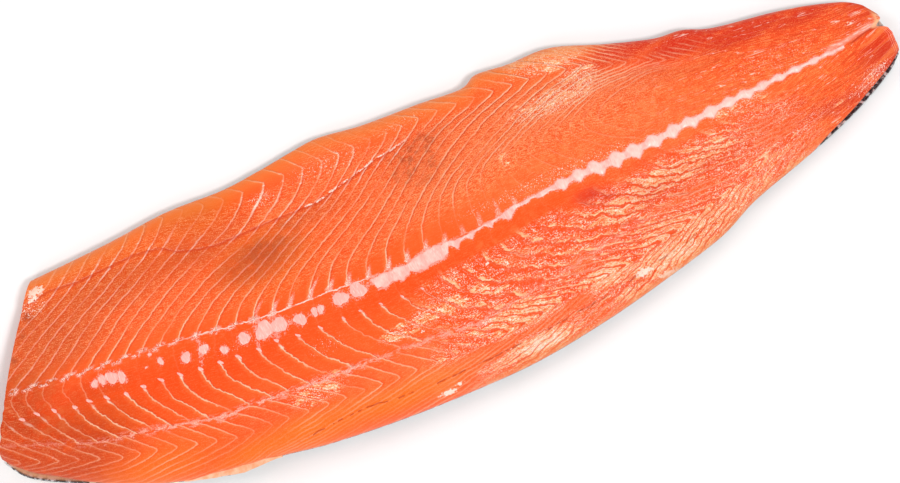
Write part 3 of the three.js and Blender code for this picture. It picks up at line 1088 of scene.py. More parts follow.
def paint_rucks(f, look):
    """Rucked flakes are lit and shaded in turn. Gives their height."""
    folds = (f.chatter * 0.75 + f.flecks * 0.25 - 0.5) * 20
    ruck = (folds + f.share.fall(0.3, 1) - 1.35) * f.crumple
    # The rucks' light and shade is painted: tan and cream on the lit side, deep flesh on the shaded
    # side.
    f.paint(ruck.limited() * 0.75, look.tan_color)
    f.paint((ruck - 0.7).limited() * 0.6, look.glare_color)
    f.paint((-ruck).limited() * 0.85, look.deep_color)
    return ruck


def paint_strands(f, look):
    """The tail is all long strands, which join into thick cords at its end."""
    # Painted light and painted shade across the cords at the tail's end.
    cord = (f.long_lines - 0.5) * 14 * f.at_end * f.tail
    f.paint(cord.limited() * 0.4, look.tan_color)
    f.paint((-cord).limited() * 0.5, look.tail_shade_color)
    strand = ((f.strands - 0.5) * 11 + (f.speck - 0.5) * 6) * (1 - f.at_end * 0.55)
    lit = (f.tail - f.tail_shade * 0.6).limited()
    f.paint((strand - 0.3).limited() * lit * 0.85, look.tan_color)
    f.paint((-strand - 0.4).limited() * f.tail * 0.55, look.shade_color)
    thread = (f.long_lines - 0.5).near(0.002, 0.008) * f.tail
    thread = thread * (f.blots + f.at_end * 0.1).rise(0.47, 0.56)
    f.paint(thread * (0.6 - f.at_end * 0.1), look.membrane_and_glint_color)
    furrows = (f.long_lines - 0.57).near(0.004, 0.018) * f.tail
    f.paint(furrows * 0.6, look.shade_color)


def paint_seams(f, look):
    """Seams of fat with painted shade at their foot on the tail side. Gives (seam, foot)."""
    # The foot is painted shade beside each seam on its tail side.
    foot = f.away.rise(0.2, 0.5) * f.away.fall(0.6, 1.8) * f.off.fall(0.12, 0.3)
    foot = foot * (f.shown * 1.2).limited()
    f.paint(foot * (0.3 + f.grain * 0.5), look.shade_color)
    before = f.away * -1
    glow = before.rise(-0.5, 0.1) * before.fall(0.5, 2.6) * f.off.rise(-0.4, -0.2)
    glow = glow * f.shown * (1 - f.grain).limited() * (1 - f.crumple)
    f.paint(glow * 0.34, look.tan_color)
    line = f.away.near(0.1, 0.58) * f.shown
    line = line.most(f.away.near(0.2, 0.9) * f.pins * f.shown)
    in_folds = f.crumple * (0.75 - f.fascia.fall(-1, 1) * 0.4)
    seam = (line * (0.5 + f.worn * 1.2)).limited() * (1 - in_folds)
    seam = seam * (1 - f.glare * 0.4).limited()
    fat = f.mix(f.dull * f.spine.rise(-1, 1), look.seam_color, look.dull_seam_color)
    # Near the pin bones the seams end in white fat; above the ledge they turn white with fat and
    # painted glints.
    bright = (f.pins + (f.ledge + 1).near(1.5, 5) * f.mark("ledge_shown")).limited()
    fat = f.mix(bright * (f.worn + 0.2).limited(), fat, look.membrane_and_glint_color)
    f.paint(seam * 0.95, fat)
    # Knots of white fat along the seams, partly painted glints.
    knots = f.streaks(f.flake * 3.0, f.run / 1.4, detail=1) + f.mark("knots") * 0.22
    knots = knots.rise(0.7, 0.8) * f.away.near(0.2, 0.9) * f.shown
    f.paint(knots * 0.9, look.membrane_and_glint_color)
    return seam, foot


def paint_glare_and_fold_shade(f, look):
    """Painted glare on crumpled wet flesh: islands on each flake, partly a cream film of fat, with
    clean orange between them, painted glints, painted shade in small pits, and the painted
    highlights on the crests and painted shade in the valleys of rucked flakes. Gives (island,
    valley)."""
    inside = f.share + (f.web - 0.5) * 0.5
    band = inside.rise(0.1, 0.2) * inside.fall(0.78, 0.92)
    band = (band + f.tail + f.glare.rise(0.9, 1.5)).limited()
    glare_isle = f.flecks * (1 - f.tail) + f.sheets * f.tail
    glare_isle = (f.glare * 1.7 - 0.35 + (glare_isle - 0.5) * 4.5) * f.glare.rise(0.0, 0.2)
    glare_isle = glare_isle.rise(0.1, 0.45) * band
    crease = f.chatter + f.glare.rise(1, 2.2) * 0.08
    crease = crease * (1 - f.tail) + (f.web * 0.4 + f.strands * 0.6) * f.tail
    # The islands are painted glare in three levels: tan, cream and near white.
    f.paint(glare_isle * crease.rise(0.4, 0.5) * 0.75, look.tan_color)
    f.paint(glare_isle * crease.rise(0.46, 0.56) * 0.85, look.glare_color)
    f.paint(glare_isle * crease.rise(0.54, 0.61) * 0.95, look.membrane_and_glint_color)
    ticks = f.chatter * 0.55 + f.speck * 0.45
    # Painted shade in small pits, and painted glints beside them.
    pits = ticks.fall(0.4, 0.46) * (f.crumple + f.glare).limited()
    f.paint(pits * 0.78, look.fold_shade_color)
    glints = ticks.rise(0.535, 0.58) * (f.glare + f.crumple * 0.5).rise(0.05, 0.4)
    f.paint(glints * 0.9, look.membrane_and_glint_color)
    # Painted highlight on the crest of each rucked flake, and painted shade in its valley.
    crest = f.off.rise(0.08, 0.15) * f.off.fall(0.2, 0.34) * f.crumple * f.worn.rise(0.45, 0.58)
    f.paint(crest * 0.85, look.glare_color)
    valley = (f.off + 0.03).near(0.05, 0.15) * f.crumple * (f.worn + 0.35).limited()
    f.paint(valley * 0.95, look.fold_shade_color)
    return glare_isle, valley


def paint_fascia(f, look):
    """The pink sheet between loin and back, as branching threads. Gives the threads."""
    veins = f.streaks(f.x * 110, f.fascia / 2.6, 3, 0.6) - 0.5
    sheet = f.fascia + (f.blots - 0.5) * 6
    gristle = (veins.near(0.01, 0.06) * sheet.near(0.6, 3.4) + sheet.near(0.2, 0.9)).limited()
    gristle = gristle * f.mark("fascia_shown") * f.blots.rise(0.36, 0.5)
    f.paint(gristle * (f.worn + 0.35).limited(), look.gristle_color)
    # Painted glints on the fascia.
    f.paint(gristle * f.speck.rise(0.52, 0.6) * 0.5, look.white_color)
    return gristle


def paint_midline(f, look):
    """The midline with a knot wherever a seam meets it, the tufts that stand on the belly side
    of the strip, and the gristle that frays out beside cut bones. Gives the knots."""
    from_midline = f.spine + (f.noise(3, detail=2) - 0.5) * 2.4
    thin = from_midline.near(0.1, 0.5) * f.mark("midline_shown") * f.worn.rise(0.37, 0.52)
    f.paint(thin * 0.95, look.white_color)
    knot = from_midline.near(0.5, 2.4) * f.away.near(0.9, 3.6) * f.mark("knots_shown")
    knot = knot * (f.speck * 0.4 + f.noise(2.2, detail=2) * 0.7).rise(0.48, 0.56)
    f.paint(knot * 0.85, look.gristle_color)
    f.paint(knot * f.speck.rise(0.45, 0.55) * 0.8, look.white_color)

    off_tuft = abs(f.away - f.spine * 0.3 + (f.web - 0.5) * 3.4) + f.spine * 0.16
    tall = f.streaks(f.seam_name * 5.3, 2.1, detail=0).rise(0.3, 0.7)
    tuft = off_tuft.fall(0.8, 2.4) * f.spine.rise(-0.5, 0.6) * (f.spine - tall * 6).fall(1, 6)
    tuft = tuft * f.mark("tufts")
    f.paint(tuft * 0.7, look.fringe_color)
    f.paint(tuft * (f.web * 0.5 + f.speck * 0.5).rise(0.5, 0.57) * 0.9, look.membrane_and_glint_color)

    bone = f.mark("beside_bone")
    fringe = (bone * 0.9 + (f.web - 0.5) * 3 + (f.speck - 0.5)).rise(0.5, 0.8)
    f.paint(fringe * bone.rise(0.05, 0.4) * 0.8, look.fringe_color)
    return knot


def paint_tears(f, look):
    """The torn ledge with painted shadow at its foot and painted glints along its lip, the crack
    along the back with painted shade inside it, and the furrow, painted shade, with its lip at the
    tail end. Gives the crack."""
    torn = f.ledge + (f.noise(2.4, detail=3, roughness=0.7) - 0.5) * 1.6
    ledge_on = f.mark("ledge_shown")
    # Painted shadow at the foot of the ledge.
    f.paint(torn.rise(-2.4, -0.3) * torn.fall(-0.2, 0.3) * ledge_on * 0.65, look.crack_shade_color)
    # Painted glints along the ledge's torn lip.
    frayed = torn.rise(-0.4, -0.1) * torn.fall(0.3, 1.0) * f.blots.rise(0.45, 0.52)
    frayed = frayed * (f.speck * 0.5 + f.web * 0.5).rise(0.42, 0.52) * f.mark("ledge_frayed")
    f.paint(frayed * ledge_on, look.membrane_and_glint_color)

    # Painted shade inside the crack.
    gap = (f.mark("from_crack") + (f.noise(7) - 0.5) * 2.5).near(0.1, 0.6)
    split = (gap * f.mark("crack_shown") * f.blots.rise(0.49, 0.58)).limited()
    f.paint(split * 0.6, look.crack_shade_color)
    # Painted shade in the furrow.
    f.paint(f.mark("furrow"), look.crack_shade_color)
    lip = f.mark("lip")
    f.paint(lip * (0.5 + f.strands), look.gristle_color)
    f.paint(lip * f.strands.rise(0.5, 0.6) * 0.9, look.white_color)
    return split


def paint_spots(f, look):
    """Fat left on the flesh, stains, darker nicks in the head cut, dark meat and painted glints."""
    fat = f.mark("fat")
    clots = (fat + (f.noise(1.8, detail=3) - 0.5) * 2.2 + (f.speck - 0.5)).rise(0.5, 0.75)
    f.paint(clots * fat.rise(0.05, 0.3) * 0.85, look.membrane_and_glint_color)
    smears = f.mark("grey") * (0.35 + f.blots.rise(0.45, 0.62))
    f.paint(smears.limited() * 0.6, look.stain_color)
    f.paint((f.mark("blood") * (0.4 + f.blots)).limited() * 0.75, look.blood_color)
    # Painted glints.
    glint_spots = f.mark("glint_spots")
    lit = (f.web * 0.5 + f.speck * 0.5 + glint_spots * 0.14).rise(0.63, 0.69)
    f.paint(lit * glint_spots.rise(0.05, 0.3) * 0.9, look.membrane_and_glint_color)


def paint_edges(f, look):
    """The bright rim, layers and painted shade along the skin of the tail's end, the thin yellow
    rim of the belly, a painted highlight along the back edge of the rucked part, and the cut ends,
    where flakes show nested in each other."""
    f.paint(f.mark("end_rim") * f.blots.rise(0.3, 0.5) * 0.8, look.glare_color)
    layer = ((f.to_end + (f.blots - 0.5) * 2) / 1.6).part() - 0.5
    layers = layer.near(0.08, 0.22) * f.to_end.fall(4, 8)
    f.paint(layers * f.spine.fall(0, 2) * 0.8, look.gristle_color)
    # Painted shade along the skin's edge at the tail's end.
    end_shade = f.rim.fall(2.2, 5.5) * f.at_end * (0.6 + f.blots * 0.6)
    f.paint(end_shade.limited() * 0.75, look.crack_shade_color)
    # A yellower rim of thin flesh over the skin; along the back edge of the rucked part it is also
    # a painted highlight.
    on_rim = f.rim.fall(1, 15) * f.spine.rise(0, 5) * (1 - f.tail) * (1 - f.tail_shade).limited()
    f.paint(on_rim * 0.6 + f.rim.fall(0.4, 5) * f.crumple * 0.5, look.rim_color)
    ring = (f.noise(9, f.vector(f.y * 900, f.z * 2400), detail=1) * 9).part()
    f.paint(ring.fall(0.0, 0.12) * f.mark("cut") * 0.6, look.seam_color)


def wet_flesh(look):
    f = FleshFinish(look)
    paint_tones(f, look)
    paint_fibres(f, look)
    ruck = paint_rucks(f, look)
    paint_strands(f, look)
    seam, foot = paint_seams(f, look)
    glare_isle, valley = paint_glare_and_fold_shade(f, look)
    gristle = paint_fascia(f, look)
    knot = paint_midline(f, look)
    split = paint_tears(f, look)
    paint_spots(f, look)
    paint_edges(f, look)

    height = seam * 0.3 + f.fibres * f.grain * 0.4 + f.web * (0.3 + f.glare * 0.2)
    height = height + f.speck * (0.2 + f.grain * 0.2) + f.strands * f.tail * 0.5
    height = height + gristle * 0.4 - split * 0.8 + knot * 0.4 - foot * 0.4
    height = height + glare_isle * 0.12 - valley * 0.3 + ruck * 0.03
    return f.done(
        Base_Color=f.tone,
        Roughness=0.34 - f.glare * 0.1 + f.speck * 0.1,
        IOR=1.36,
        Specular_Tint=(1, 0.8, 0.55, 1),
        Normal=f.bump(height, 1.0, 0.6),
    )


def scaly_skin(look):
    f = Finish("scaly_skin")
    x, y, _ = f.xyz()
    across = f.mark("across")
    row = f.vector(x * 260, y * 330)
    scale = f.cells(1.0, row, randomness=0.35)
    ridge = f.cells(1.0, row, feature="DISTANCE_TO_EDGE", randomness=0.35)
    clouds = f.noise(22, detail=4)
    back = (across + (clouds - 0.5) * 0.35).fall(0.34, 0.7)
    tone = f.mix(back, look.belly_color, look.back_color)
    tone = f.mix(ridge.fall(0.02, 0.14) * 0.55, tone, look.scale_edge_color)
    spots = f.cells(19, randomness=0.9).fall(0.1, 0.17) * across.fall(0.3, 0.46)
    tone = f.mix(spots * 0.85, tone, look.spot_color)
    sheen = f.noise(1.2, detail=2)
    patch = f.noise(3.5, detail=3, roughness=0.6)
    bright = (f.mark("skin_rim") * (patch - 0.5).limited() * 12).limited()
    tone = f.mix(bright * 0.85, tone, look.silver_color)
    tone = f.mix(f.mark("beige") * (0.6 + sheen * 0.6), tone, look.beige_color)
    return f.done(
        Base_Color=tone,
        Roughness=0.26 + sheen * 0.22,
        Metallic=0.35 - back * 0.2,
        IOR=1.45,
        Coat_Weight=0.4,
        Coat_Roughness=0.2,
        Normal=f.bump(scale * -0.8 + ridge, 0.5, 0.25),
    )


def cut_bone(look):
    f = Finish("cut_bone")
    x, y, _ = f.xyz()
    grain = f.streaks(x * 1500, y * 260, detail=3, roughness=0.6)
    clouds = f.noise(5, detail=3)
    pinkness = (clouds + f.mark("pinkness") * 0.25).rise(0.4, 0.68)
    tone = f.mix(pinkness, look.bone_color, look.pink_color)
    tone = f.mix(((grain - 0.52) * 6).limited() * 0.7, tone, look.white_color)
    tone = f.mix(((0.45 - grain) * 6).limited() * 0.5, tone, look.marrow_color)
    edge = (f.mark("bone_rim") + (grain - 0.5) * 0.8).rise(0.62, 1.05)
    tone = f.mix(edge * 0.6, tone, look.marrow_color)
    return f.done(
        Base_Color=tone,
        Roughness=0.32 + grain * 0.15,
        IOR=1.45,
        Coat_Weight=0.25,
        Coat_Roughness=0.18,
        Normal=f.bump(grain * 0.7 + clouds, 0.4, 0.3),
    )


def soft_fat(look):
    f = Finish("soft_fat")
    clouds = f.noise(3.5, detail=3)
    grain = f.noise(0.8, detail=3, roughness=0.7)
    tone = f.mix(clouds.rise(0.35, 0.65), look.fat_color, look.fat_dark_color)
    tone = f.mix(((grain - 0.55) * 3).limited() * 0.5, tone, look.fat_light_color)
    return f.done(
        Base_Color=tone,
        Roughness=0.36 + grain * 0.15,
        IOR=1.4,
        Coat_Weight=0.3,
        Coat_Roughness=0.2,
        Normal=f.bump(grain * 0.6 + clouds, 0.5, 0.4),
    )


# ---------------------------------------------------------------- the settings


def color(name, description, default):
    return bpy.props.FloatVectorProperty(
        name=name, description=description, subtype="COLOR", size=3, min=0, max=1, default=default
    )


class SalmonFleshLook(bpy.types.PropertyGroup):
    flesh_color: color("Flesh", "Flesh between the seams", srgb(254, 88, 26))
    pale_color: color("Pale Flesh", "Flesh of the belly wall and the tail", srgb(255, 114, 56))
    # Deep Flesh also paints the shaded side of rucked flakes.
    deep_color: color("Deep Flesh", "Flesh beside the backbone", srgb(252, 72, 8))
    dull_color: color("Dull Flesh", "Drier flesh at the head end", srgb(202, 76, 26))
    dull_loin_color: color("Dull Loin", "Drier loin at the head end", srgb(198, 58, 8))
    fibre_color: color("Fibres", "Light fibres in the flesh", srgb(255, 160, 108))
    gold_color: color("Golden Flesh", "Yellower flesh along the edges", srgb(250, 108, 14))
    # Groove is painted shade at the bottom of the folds and in the pits of crumpled flesh.
    fold_shade_color: color("Groove", "Bottom of the folds in rucked flesh", srgb(246, 76, 18))
    shade_color: color("Shade", "Flesh in the shade of a seam", srgb(222, 62, 18))
    seam_color: color("Seams", "Fat between two flakes", srgb(255, 188, 152))
    dull_seam_color: color("Dull Seams", "Fat between flakes at the head end", srgb(252, 176, 158))
    # Crumpled Flesh is painted glare and painted highlight on crumpled and rucked flesh, partly a
    # cream film of fat. Tan Flesh is the lowest level of that painted glare and the painted light
    # on rucks and cords, besides light mottling and strands.
    glare_color: color("Crumpled Flesh", "Cream creases of crumpled flesh", srgb(255, 202, 151))
    tan_color: color("Tan Flesh", "Flesh under the cream creases", srgb(255, 146, 82))
    gristle_color: color("Fascia", "Pink sheet between loin and back", srgb(255, 158, 136))
    # Membrane is torn membrane and fat, and also the painted glints on crumpled flesh, seams, the
    # ledge and specks.
    membrane_and_glint_color: color("Membrane", "Torn membrane and fat", srgb(255, 238, 222))
    white_color: color("White Fat", "Knots along the midline", srgb(255, 226, 214))
    # Crack is painted shade: inside the crack, in the furrow, at the foot of the ledge and along
    # the skin at the tail's end.
    crack_shade_color: color("Crack", "Inside of a crack", srgb(204, 54, 16))
    # Stain also darkens the nicks in the head cut.
    stain_color: color("Stain", "Grey smudges", srgb(166, 62, 34))
    blood_color: color("Blood Spot", "Dark red spots", srgb(206, 34, 30))
    # Tail Edge is dark red meat, partly painted shade where the tail's edges face away from the
    # light.
    tail_shade_color: color("Tail Edge", "Dark red meat along the tail's edges", srgb(214, 28, 4))
    # Thin Rim is a yellower rim of thin flesh; along the back edge of the rucked part it is also a
    # painted highlight.
    rim_color: color("Thin Rim", "Thin flesh over the edge of the skin", srgb(244, 140, 64))
    fringe_color: color("Fringe", "Gristle beside the cut bones", srgb(255, 164, 150))


class SalmonSkinLook(bpy.types.PropertyGroup):
    back_color: color("Back", "Skin of the back", srgb(34, 40, 48))
    belly_color: color("Belly", "Skin of the belly", srgb(206, 208, 204))
    scale_edge_color: color("Scale Edges", "Lines between scales", srgb(104, 110, 116))
    spot_color: color("Spots", "Dark spots on the back", srgb(22, 24, 28))
    beige_color: color("Beige Rim", "Dried rim at the head end", srgb(226, 188, 146))
    silver_color: color("Silver Rim", "Bright rim of the skin", srgb(222, 226, 228))


class SalmonBoneLook(bpy.types.PropertyGroup):
    bone_color: color("Bone", "Cut bone", srgb(255, 200, 188))
    pink_color: color("Pink Bone", "Bone tinted by the flesh", srgb(252, 176, 164))
    white_color: color("White Bone", "Lightest bone", srgb(255, 222, 212))
    marrow_color: color("Marrow", "Red edge of the bone", srgb(252, 148, 130))


class SalmonFatLook(bpy.types.PropertyGroup):
    fat_color: color("Fat", "Fat and membrane", srgb(250, 206, 170))
    fat_dark_color: color("Dark Fat", "Thin fat over flesh", srgb(244, 176, 128))
    fat_light_color: color("Light Fat", "Thick fat", srgb(255, 232, 212))


class SalmonStageLook(bpy.types.PropertyGroup):
    floor_color: color("Floor", "Plain floor", (0.9, 0.9, 0.9))
    azimuth: bpy.props.FloatProperty(
        name="Azimuth", description="Side the camera looks from", subtype="ANGLE",
        default=AZIMUTH,
    )
    elevation: bpy.props.FloatProperty(
        name="Elevation", description="Camera angle above the table", subtype="ANGLE",
        default=ELEVATION,
    )
    lens: bpy.props.FloatProperty(
        name="Lens", description="Focal length", subtype="DISTANCE_CAMERA", default=85
    )
    picture_width: bpy.props.FloatProperty(
        name="Picture Width", description="Width that the picture takes in at the fillet",
        subtype="DISTANCE", unit="LENGTH", default=0.4906,
    )
    key_light: bpy.props.FloatProperty(
        name="Key Light", description="Power of the large lamp", subtype="POWER", default=65
    )
    side_light: bpy.props.FloatProperty(
        name="Side Lights", description="Power of each low lamp", subtype="POWER", default=17
    )
    fill_light: bpy.props.FloatProperty(
        name="Fill Light", description="Strength of the light from all round", min=0, default=0.47
    )


# ------------------------------------------------------------------ the pieces

# The flesh

FLESH_STATIONS = 520
FLESH_COLUMNS = 156
FLESH_BUNCHING = 0.42  # how much its columns crowd towards the edges
WALL_ROWS = 6
BOTTOM_INSETS = (4, 9, 14, 19)  # where the underside's rows lie, in from the edge
SUNK_IN_SKIN = 0.1
HEAD_FACE, TAIL_FACE = 0.002, 0.99  # shares of the length past which walls are cut ends
HEAD_NICKS = [  # (y, depth, half width)
    (54.5, 2.6, 1.6), (48, 1.8, 1.4), (36, 1.4, 2), (12, 1.2, 1.5),
]
TAIL_NOTCH = (11, 4.5, 2.2)


def bunched(share, amount):
    """Shares from 0 to 1, moved towards both ends."""
    return lerp(share, 0.5 - 0.5 * np.cos(np.pi * share), amount)


def flesh_net(along, across):
    """Net places of a flesh point: the flesh stops short where the skin shows."""
    length = 1 - TAIL_SKIN_SHOWS / NET.length
    along = along * length
    back_x, belly_x = NET.plan(along, 0 * along)[..., 0], NET.plan(along, 1 + 0 * along)[..., 0]
    width = NET.width(along)
    first = along_points(SKIN_SHOWS_BACK, back_x) / width
    last = 1 - along_points(SKIN_SHOWS_BELLY, belly_x) / width
    return along, lerp(first, last, bunched(across, FLESH_BUNCHING))


def ragged_ends(x, y):
    """How far towards the tail the two cut ends stray from their even outline."""
    head = 0.7 * ripple(0 * x, y, 5, 61) + 0.5 * ripple(0 * x, y, 1.8, 62)
    for at, depth, half_width in HEAD_NICKS:
        head = head + depth * bell(y - at, half_width)
    at, depth, half_width = TAIL_NOTCH
    tail = -depth * bell(y - at, half_width) + 0.35 * ripple(0 * x, y, 2.4, 63)
    return np.maximum(head, -0.8) * fall(x, -268, -250) + tail * rise(x, 252, 268)


def shape_flesh(points):
    """Where the sheet and its walls belong: (points, along, across, row below the top)."""
    row = np.round(-points[:, 2]).astype(int)
    along, across = flesh_net(points[:, 0], points[:, 1])
    inset = np.concatenate([np.zeros(WALL_ROWS + 1), BOTTOM_INSETS])[row]
    along = 0.5 + (along - 0.5) * (1 - 2 * inset / NET.length)
    across = 0.5 + (across - 0.5) * (1 - 2 * inset / NET.width(along))
    plan = NET.plan(along, across)
    plan[:, 0] += ragged_ends(*plan.T)
    x, y = plan.T
    down = np.minimum(row / WALL_ROWS, 1)
    top = NET.top(along, across)
    top = top + fine_relief(*as_seen(x, y, top))
    bed = NET.underside(along, across) + SKIN_THICKNESS - SUNK_IN_SKIN
    z = np.where(row == 0, top, lerp(top, bed, down))
    z = np.where(row > WALL_ROWS, bed, z)
    return np.column_stack([x, y, np.maximum(z, bed)]), along, across, row


def flesh_marks(x, y, along, across, row):
    """What the finish reads at each point of the flesh, by name."""
    marks = {name: patches(x, y, spots) for name, spots in PATCHES.items()}
    for (name, muscle), shown in zip(MUSCLES.items(), seam_marks(x, y)):
        marks[f"{name}_number"] = muscle.number.at(x, y)
        marks[f"{name}_gap"] = muscle.gap.at(x, y)
        marks[f"{name}_run"] = muscle.run.at(x, y)
        marks[f"{name}_shown"] = shown
    lines = {"midline": MIDLINE, "fascia": FASCIA, "ledge": LEDGE, "crack": CRACK}
    for name, line in lines.items():
        marks[f"from_{name}"] = y - along_points(line, x)
    pins = pin_line(x)
    beside_pin = rise(y, pins - 4, pins - 0.5) * fall(y, pins + 0.5, pins + 2) * fall(x, -15, 0)
    tufts = rise(x, -118, -108) * lerp(1, 0.45, rise(x, -8, 10)) * fall(x, 38, 50)
    marks.update(
        fascia_shown=along_points(FASCIA_SHOWS, x),
        midline_shown=rise(x, -190, -120) * fall(x, -55, -45),
        knots_shown=fall(x, -112, -100),
        ledge_shown=rise(x, -232, -222) * fall(x, -14, 8),
        ledge_frayed=lerp(0.12, 1, rise(x, -85, -62)),
        crack_shown=rise(x, -130, -110) * fall(x, 115, 136),
        furrow=beside_line(x, y, TAIL_FURROW, 0.7),
        lip=beside_line(x, y, TAIL_LIP, 1.1),
        crumple=crumpled(x, y),
        pins=np.maximum(beside_pin, patches(x, y, WHITE_ENDS)),
        tufts=tufts,
        grain=flesh_grain(x, y),
        from_rim=np.minimum(across, 1 - across) * NET.width(along),
        end_rim=rise(along, 0.981, 0.991) * rise(y, 9, 12) * fall(y, 28, 33),
        to_end=(1 - along) * NET.length,
        streak=strand_lines(x, y),
        tail=np.where(marks["from_midline"] > 0, rise(x, 110, 180), rise(x, 160, 220)),
        beside_bone=beside_bones(x, y),
        cut=(row > 0) & ((along < HEAD_FACE) | (along > TAIL_FACE)),
    )
    return marks


class SALMON_OT_flesh(bpy.types.Operator):
    """Models the flesh: one solid with its flakes, ledge, cracks and cut ends"""

    bl_idname = "salmon.flesh"
    bl_label = "Flesh"

    def execute(self, context):
        piece = new_sheet("salmon_flesh", FLESH_STATIONS, FLESH_COLUMNS)
        drop_rim(piece, WALL_ROWS + len(BOTTOM_INSETS))
        points, along, across, row = shape_flesh(points_of(piece))
        set_points(piece, points)
        for name, values in flesh_marks(*as_seen(*points.T), along, across, row).items():
            mark(piece, name, values)
        smooth_shading(piece, 60)
        finish_piece(piece, wet_flesh(context.scene.salmon_flesh), ["flesh"])
        return {"FINISHED"}


# The skin

SKIN_STATIONS = 300
SKIN_COLUMNS = 96
SKIN_BUNCHING = 0.4


class SALMON_OT_skin(bpy.types.Operator):
    """Models the skin under the flesh, curled up along its edges"""

    bl_idname = "salmon.skin"
    bl_label = "Skin"

    def execute(self, context):
        piece = new_sheet("salmon_skin", SKIN_STATIONS, SKIN_COLUMNS)
        points = points_of(piece)
        along = points[:, 0]
        across = bunched(points[:, 1], SKIN_BUNCHING)
        plan = NET.plan(along, across)
        set_points(piece, np.column_stack([plan, NET.underside(along, across)]))
        mark(piece, "across", across)
        rim = np.minimum(across, 1 - across) * NET.width(along)
        mark(piece, "skin_rim", fall(rim, 1, 5))
        on_head = fall(plan[:, 0], -215, -170)
        mark(piece, "beige", on_head * fall(rim, 3, 6) * rise(rim, 0.2, 1.2))
        thicken(piece, SKIN_THICKNESS, 1.0)
        smooth_shading(piece)
        finish_piece(piece, scaly_skin(context.scene.salmon_skin), ["skin"])
        return {"FINISHED"}


# The cut backbone and the ends of bones

STRIP_START = -50.3
STRIP_END = 241.5
STRIP_JOINT = -41.5  # the first of the joints between two vertebrae
STRIP_STATIONS = 900
STRIP_COLUMNS = 13
STRIP_DEPTH = 1.3
STRIP_CROWN = 0.35  # how far the strip stands proud along its middle
BEAD_CROWN = 0.9  # and how much more each bead does
STRIP_SUNK = 0.12
BEADS_FROM = (57, 61)  # x where the strip turns into beads
STRIP_BELLY_SIDE = [  # (x, y)
    (-50.3, -2.8), (-45, -2), (-39.9, -2.9), (-35, -2.2), (-29.4, -3.4), (-26.7, -2.6), (-19, -0.6),
    (-12, -0.2), (-5.8, -1.0), (4.7, -2.4), (16.2, -1), (26.1, -0.4), (29.4, 0.4), (33, 1.5),
    (37.1, 2.3), (41, 1.9), (45.9, 2.6), (51.4, 2.5), (55, 3.2), (60.2, 3.4),
]
STRIP_BACK_SIDE = [
    (-50.3, -3.7), (-48.7, -9.2), (-44.3, -11.2), (-40.4, -9.4), (-37.7, -9.4), (-34.4, -11.2),
    (-30, -9.4), (-28.9, -7.4), (-26.7, -9.8), (-20.6, -10.6), (-16.8, -9.6), (-10.2, -9.9),
    (-5.8, -7.6), (-4.7, -3.7), (-3, -4.3), (-0.3, -8.2), (1.9, -4.8), (5.8, -3.2), (9.1, -6.1),
    (11.3, -3.2), (17.3, -1.9), (21.2, -4.8), (22.8, -2.3), (26.7, -1.2), (28.9, -2.8),
    (32.7, -4.6), (34.4, -2.6), (37.1, -0.4), (40.4, 0.2), (43.7, -0.4), (47, 1.2), (53.6, -0.2),
    (56.9, 0.6), (60.2, 1.8),
]
BEADS = [  # (x, y, half length, half width)
    (65.2, 1.8, 4.2, 3.7), (75.4, 2.6, 4.2, 3.8), (86.4, 2.3, 4.8, 4.7), (97.9, 2.2, 4.8, 4.7),
    (109.2, 2.2, 4.8, 4.6), (121.3, 2.9, 4.8, 4.2), (133.2, 3.7, 4.6, 3.8), (144.2, 4.3, 4.4, 3.5),
    (156.9, 4.8, 4.6, 3.6), (168.6, 5.6, 4.6, 3.1), (178.9, 5.9, 4.4, 3.1), (189.5, 6.3, 4.2, 2.5),
    (199.9, 6.8, 4.2, 2.3), (210.4, 7.1, 4.2, 2.1), (221.9, 7.4, 4.2, 1.9), (231.8, 7.7, 4.2, 1.5),
]
BEAD_LINK = 0.46  # width between two beads, as a share of theirs
BEAD_REACH = 1.2  # length over which a bead narrows, as a share of its half length


def strip_sides(x):
    """The strip's two sides: (y towards the back, y towards the belly)."""
    middles = [(55, 1.6), *((bead[0], bead[1]) for bead in BEADS), (242, 7.9)]
    middle = along_points(middles, x)
    widths = [(bead[0], bead[3] * BEAD_LINK) for bead in BEADS]
    below = above = along_points([*widths, (242, 0.9)], x)
    for number, (bead_x, _, half_length, half_width) in enumerate(BEADS):
        lean = 0.9 * math.sin(number * 2.4)
        from_top, from_bottom = np.abs(x - bead_x - lean), np.abs(x - bead_x - 1 + lean)
        reach_up = np.clip(1 - (from_top / half_length / BEAD_REACH) ** 1.7, 0, 1)
        reach_down = np.clip(1 - (from_bottom / half_length / BEAD_REACH) ** 1.3, 0, 1)
        above = np.maximum(above, half_width * reach_up)
        below = np.maximum(below, half_width * 1.08 * reach_down)
    rough = 0.3 * ripple(x, 0 * x, 2.2, 41)
    beaded = rise(x, *BEADS_FROM)
    back = lerp(along_points(STRIP_BACK_SIDE, x), middle - below, beaded) + rough
    belly = lerp(along_points(STRIP_BELLY_SIDE, x), middle + above, beaded)
    return back, np.maximum(belly + 0.2 * ripple(x, 0 * x, 1.7, 43), back + 0.5)


def bead_shape(x):
    """1 at the middle of a bead, 0 between two."""
    shape = 0 * x
    for bead_x, _, half_length, _ in BEADS:
        shape = np.maximum(shape, np.clip(1.15 - np.abs(x - bead_x) / half_length, 0, 1))
    return shape


def beside_bones(x, y):
    """1 on the cut bones, falling off a little way beside them."""
    back, belly = strip_sides(x)
    past_ends = np.maximum(STRIP_START - x, x - STRIP_END)
    off_strip = np.maximum(np.maximum(back - y, y - belly), past_ends)
    spots = [(spot_x, spot_y, 1.35 * a, 1.35 * b, 1) for spot_x, spot_y, a, b in BONE_SPOTS]
    return np.maximum(fall(off_strip, 0, 1.2), patches(x, y, [*spots, *PINK_STREAKS]))


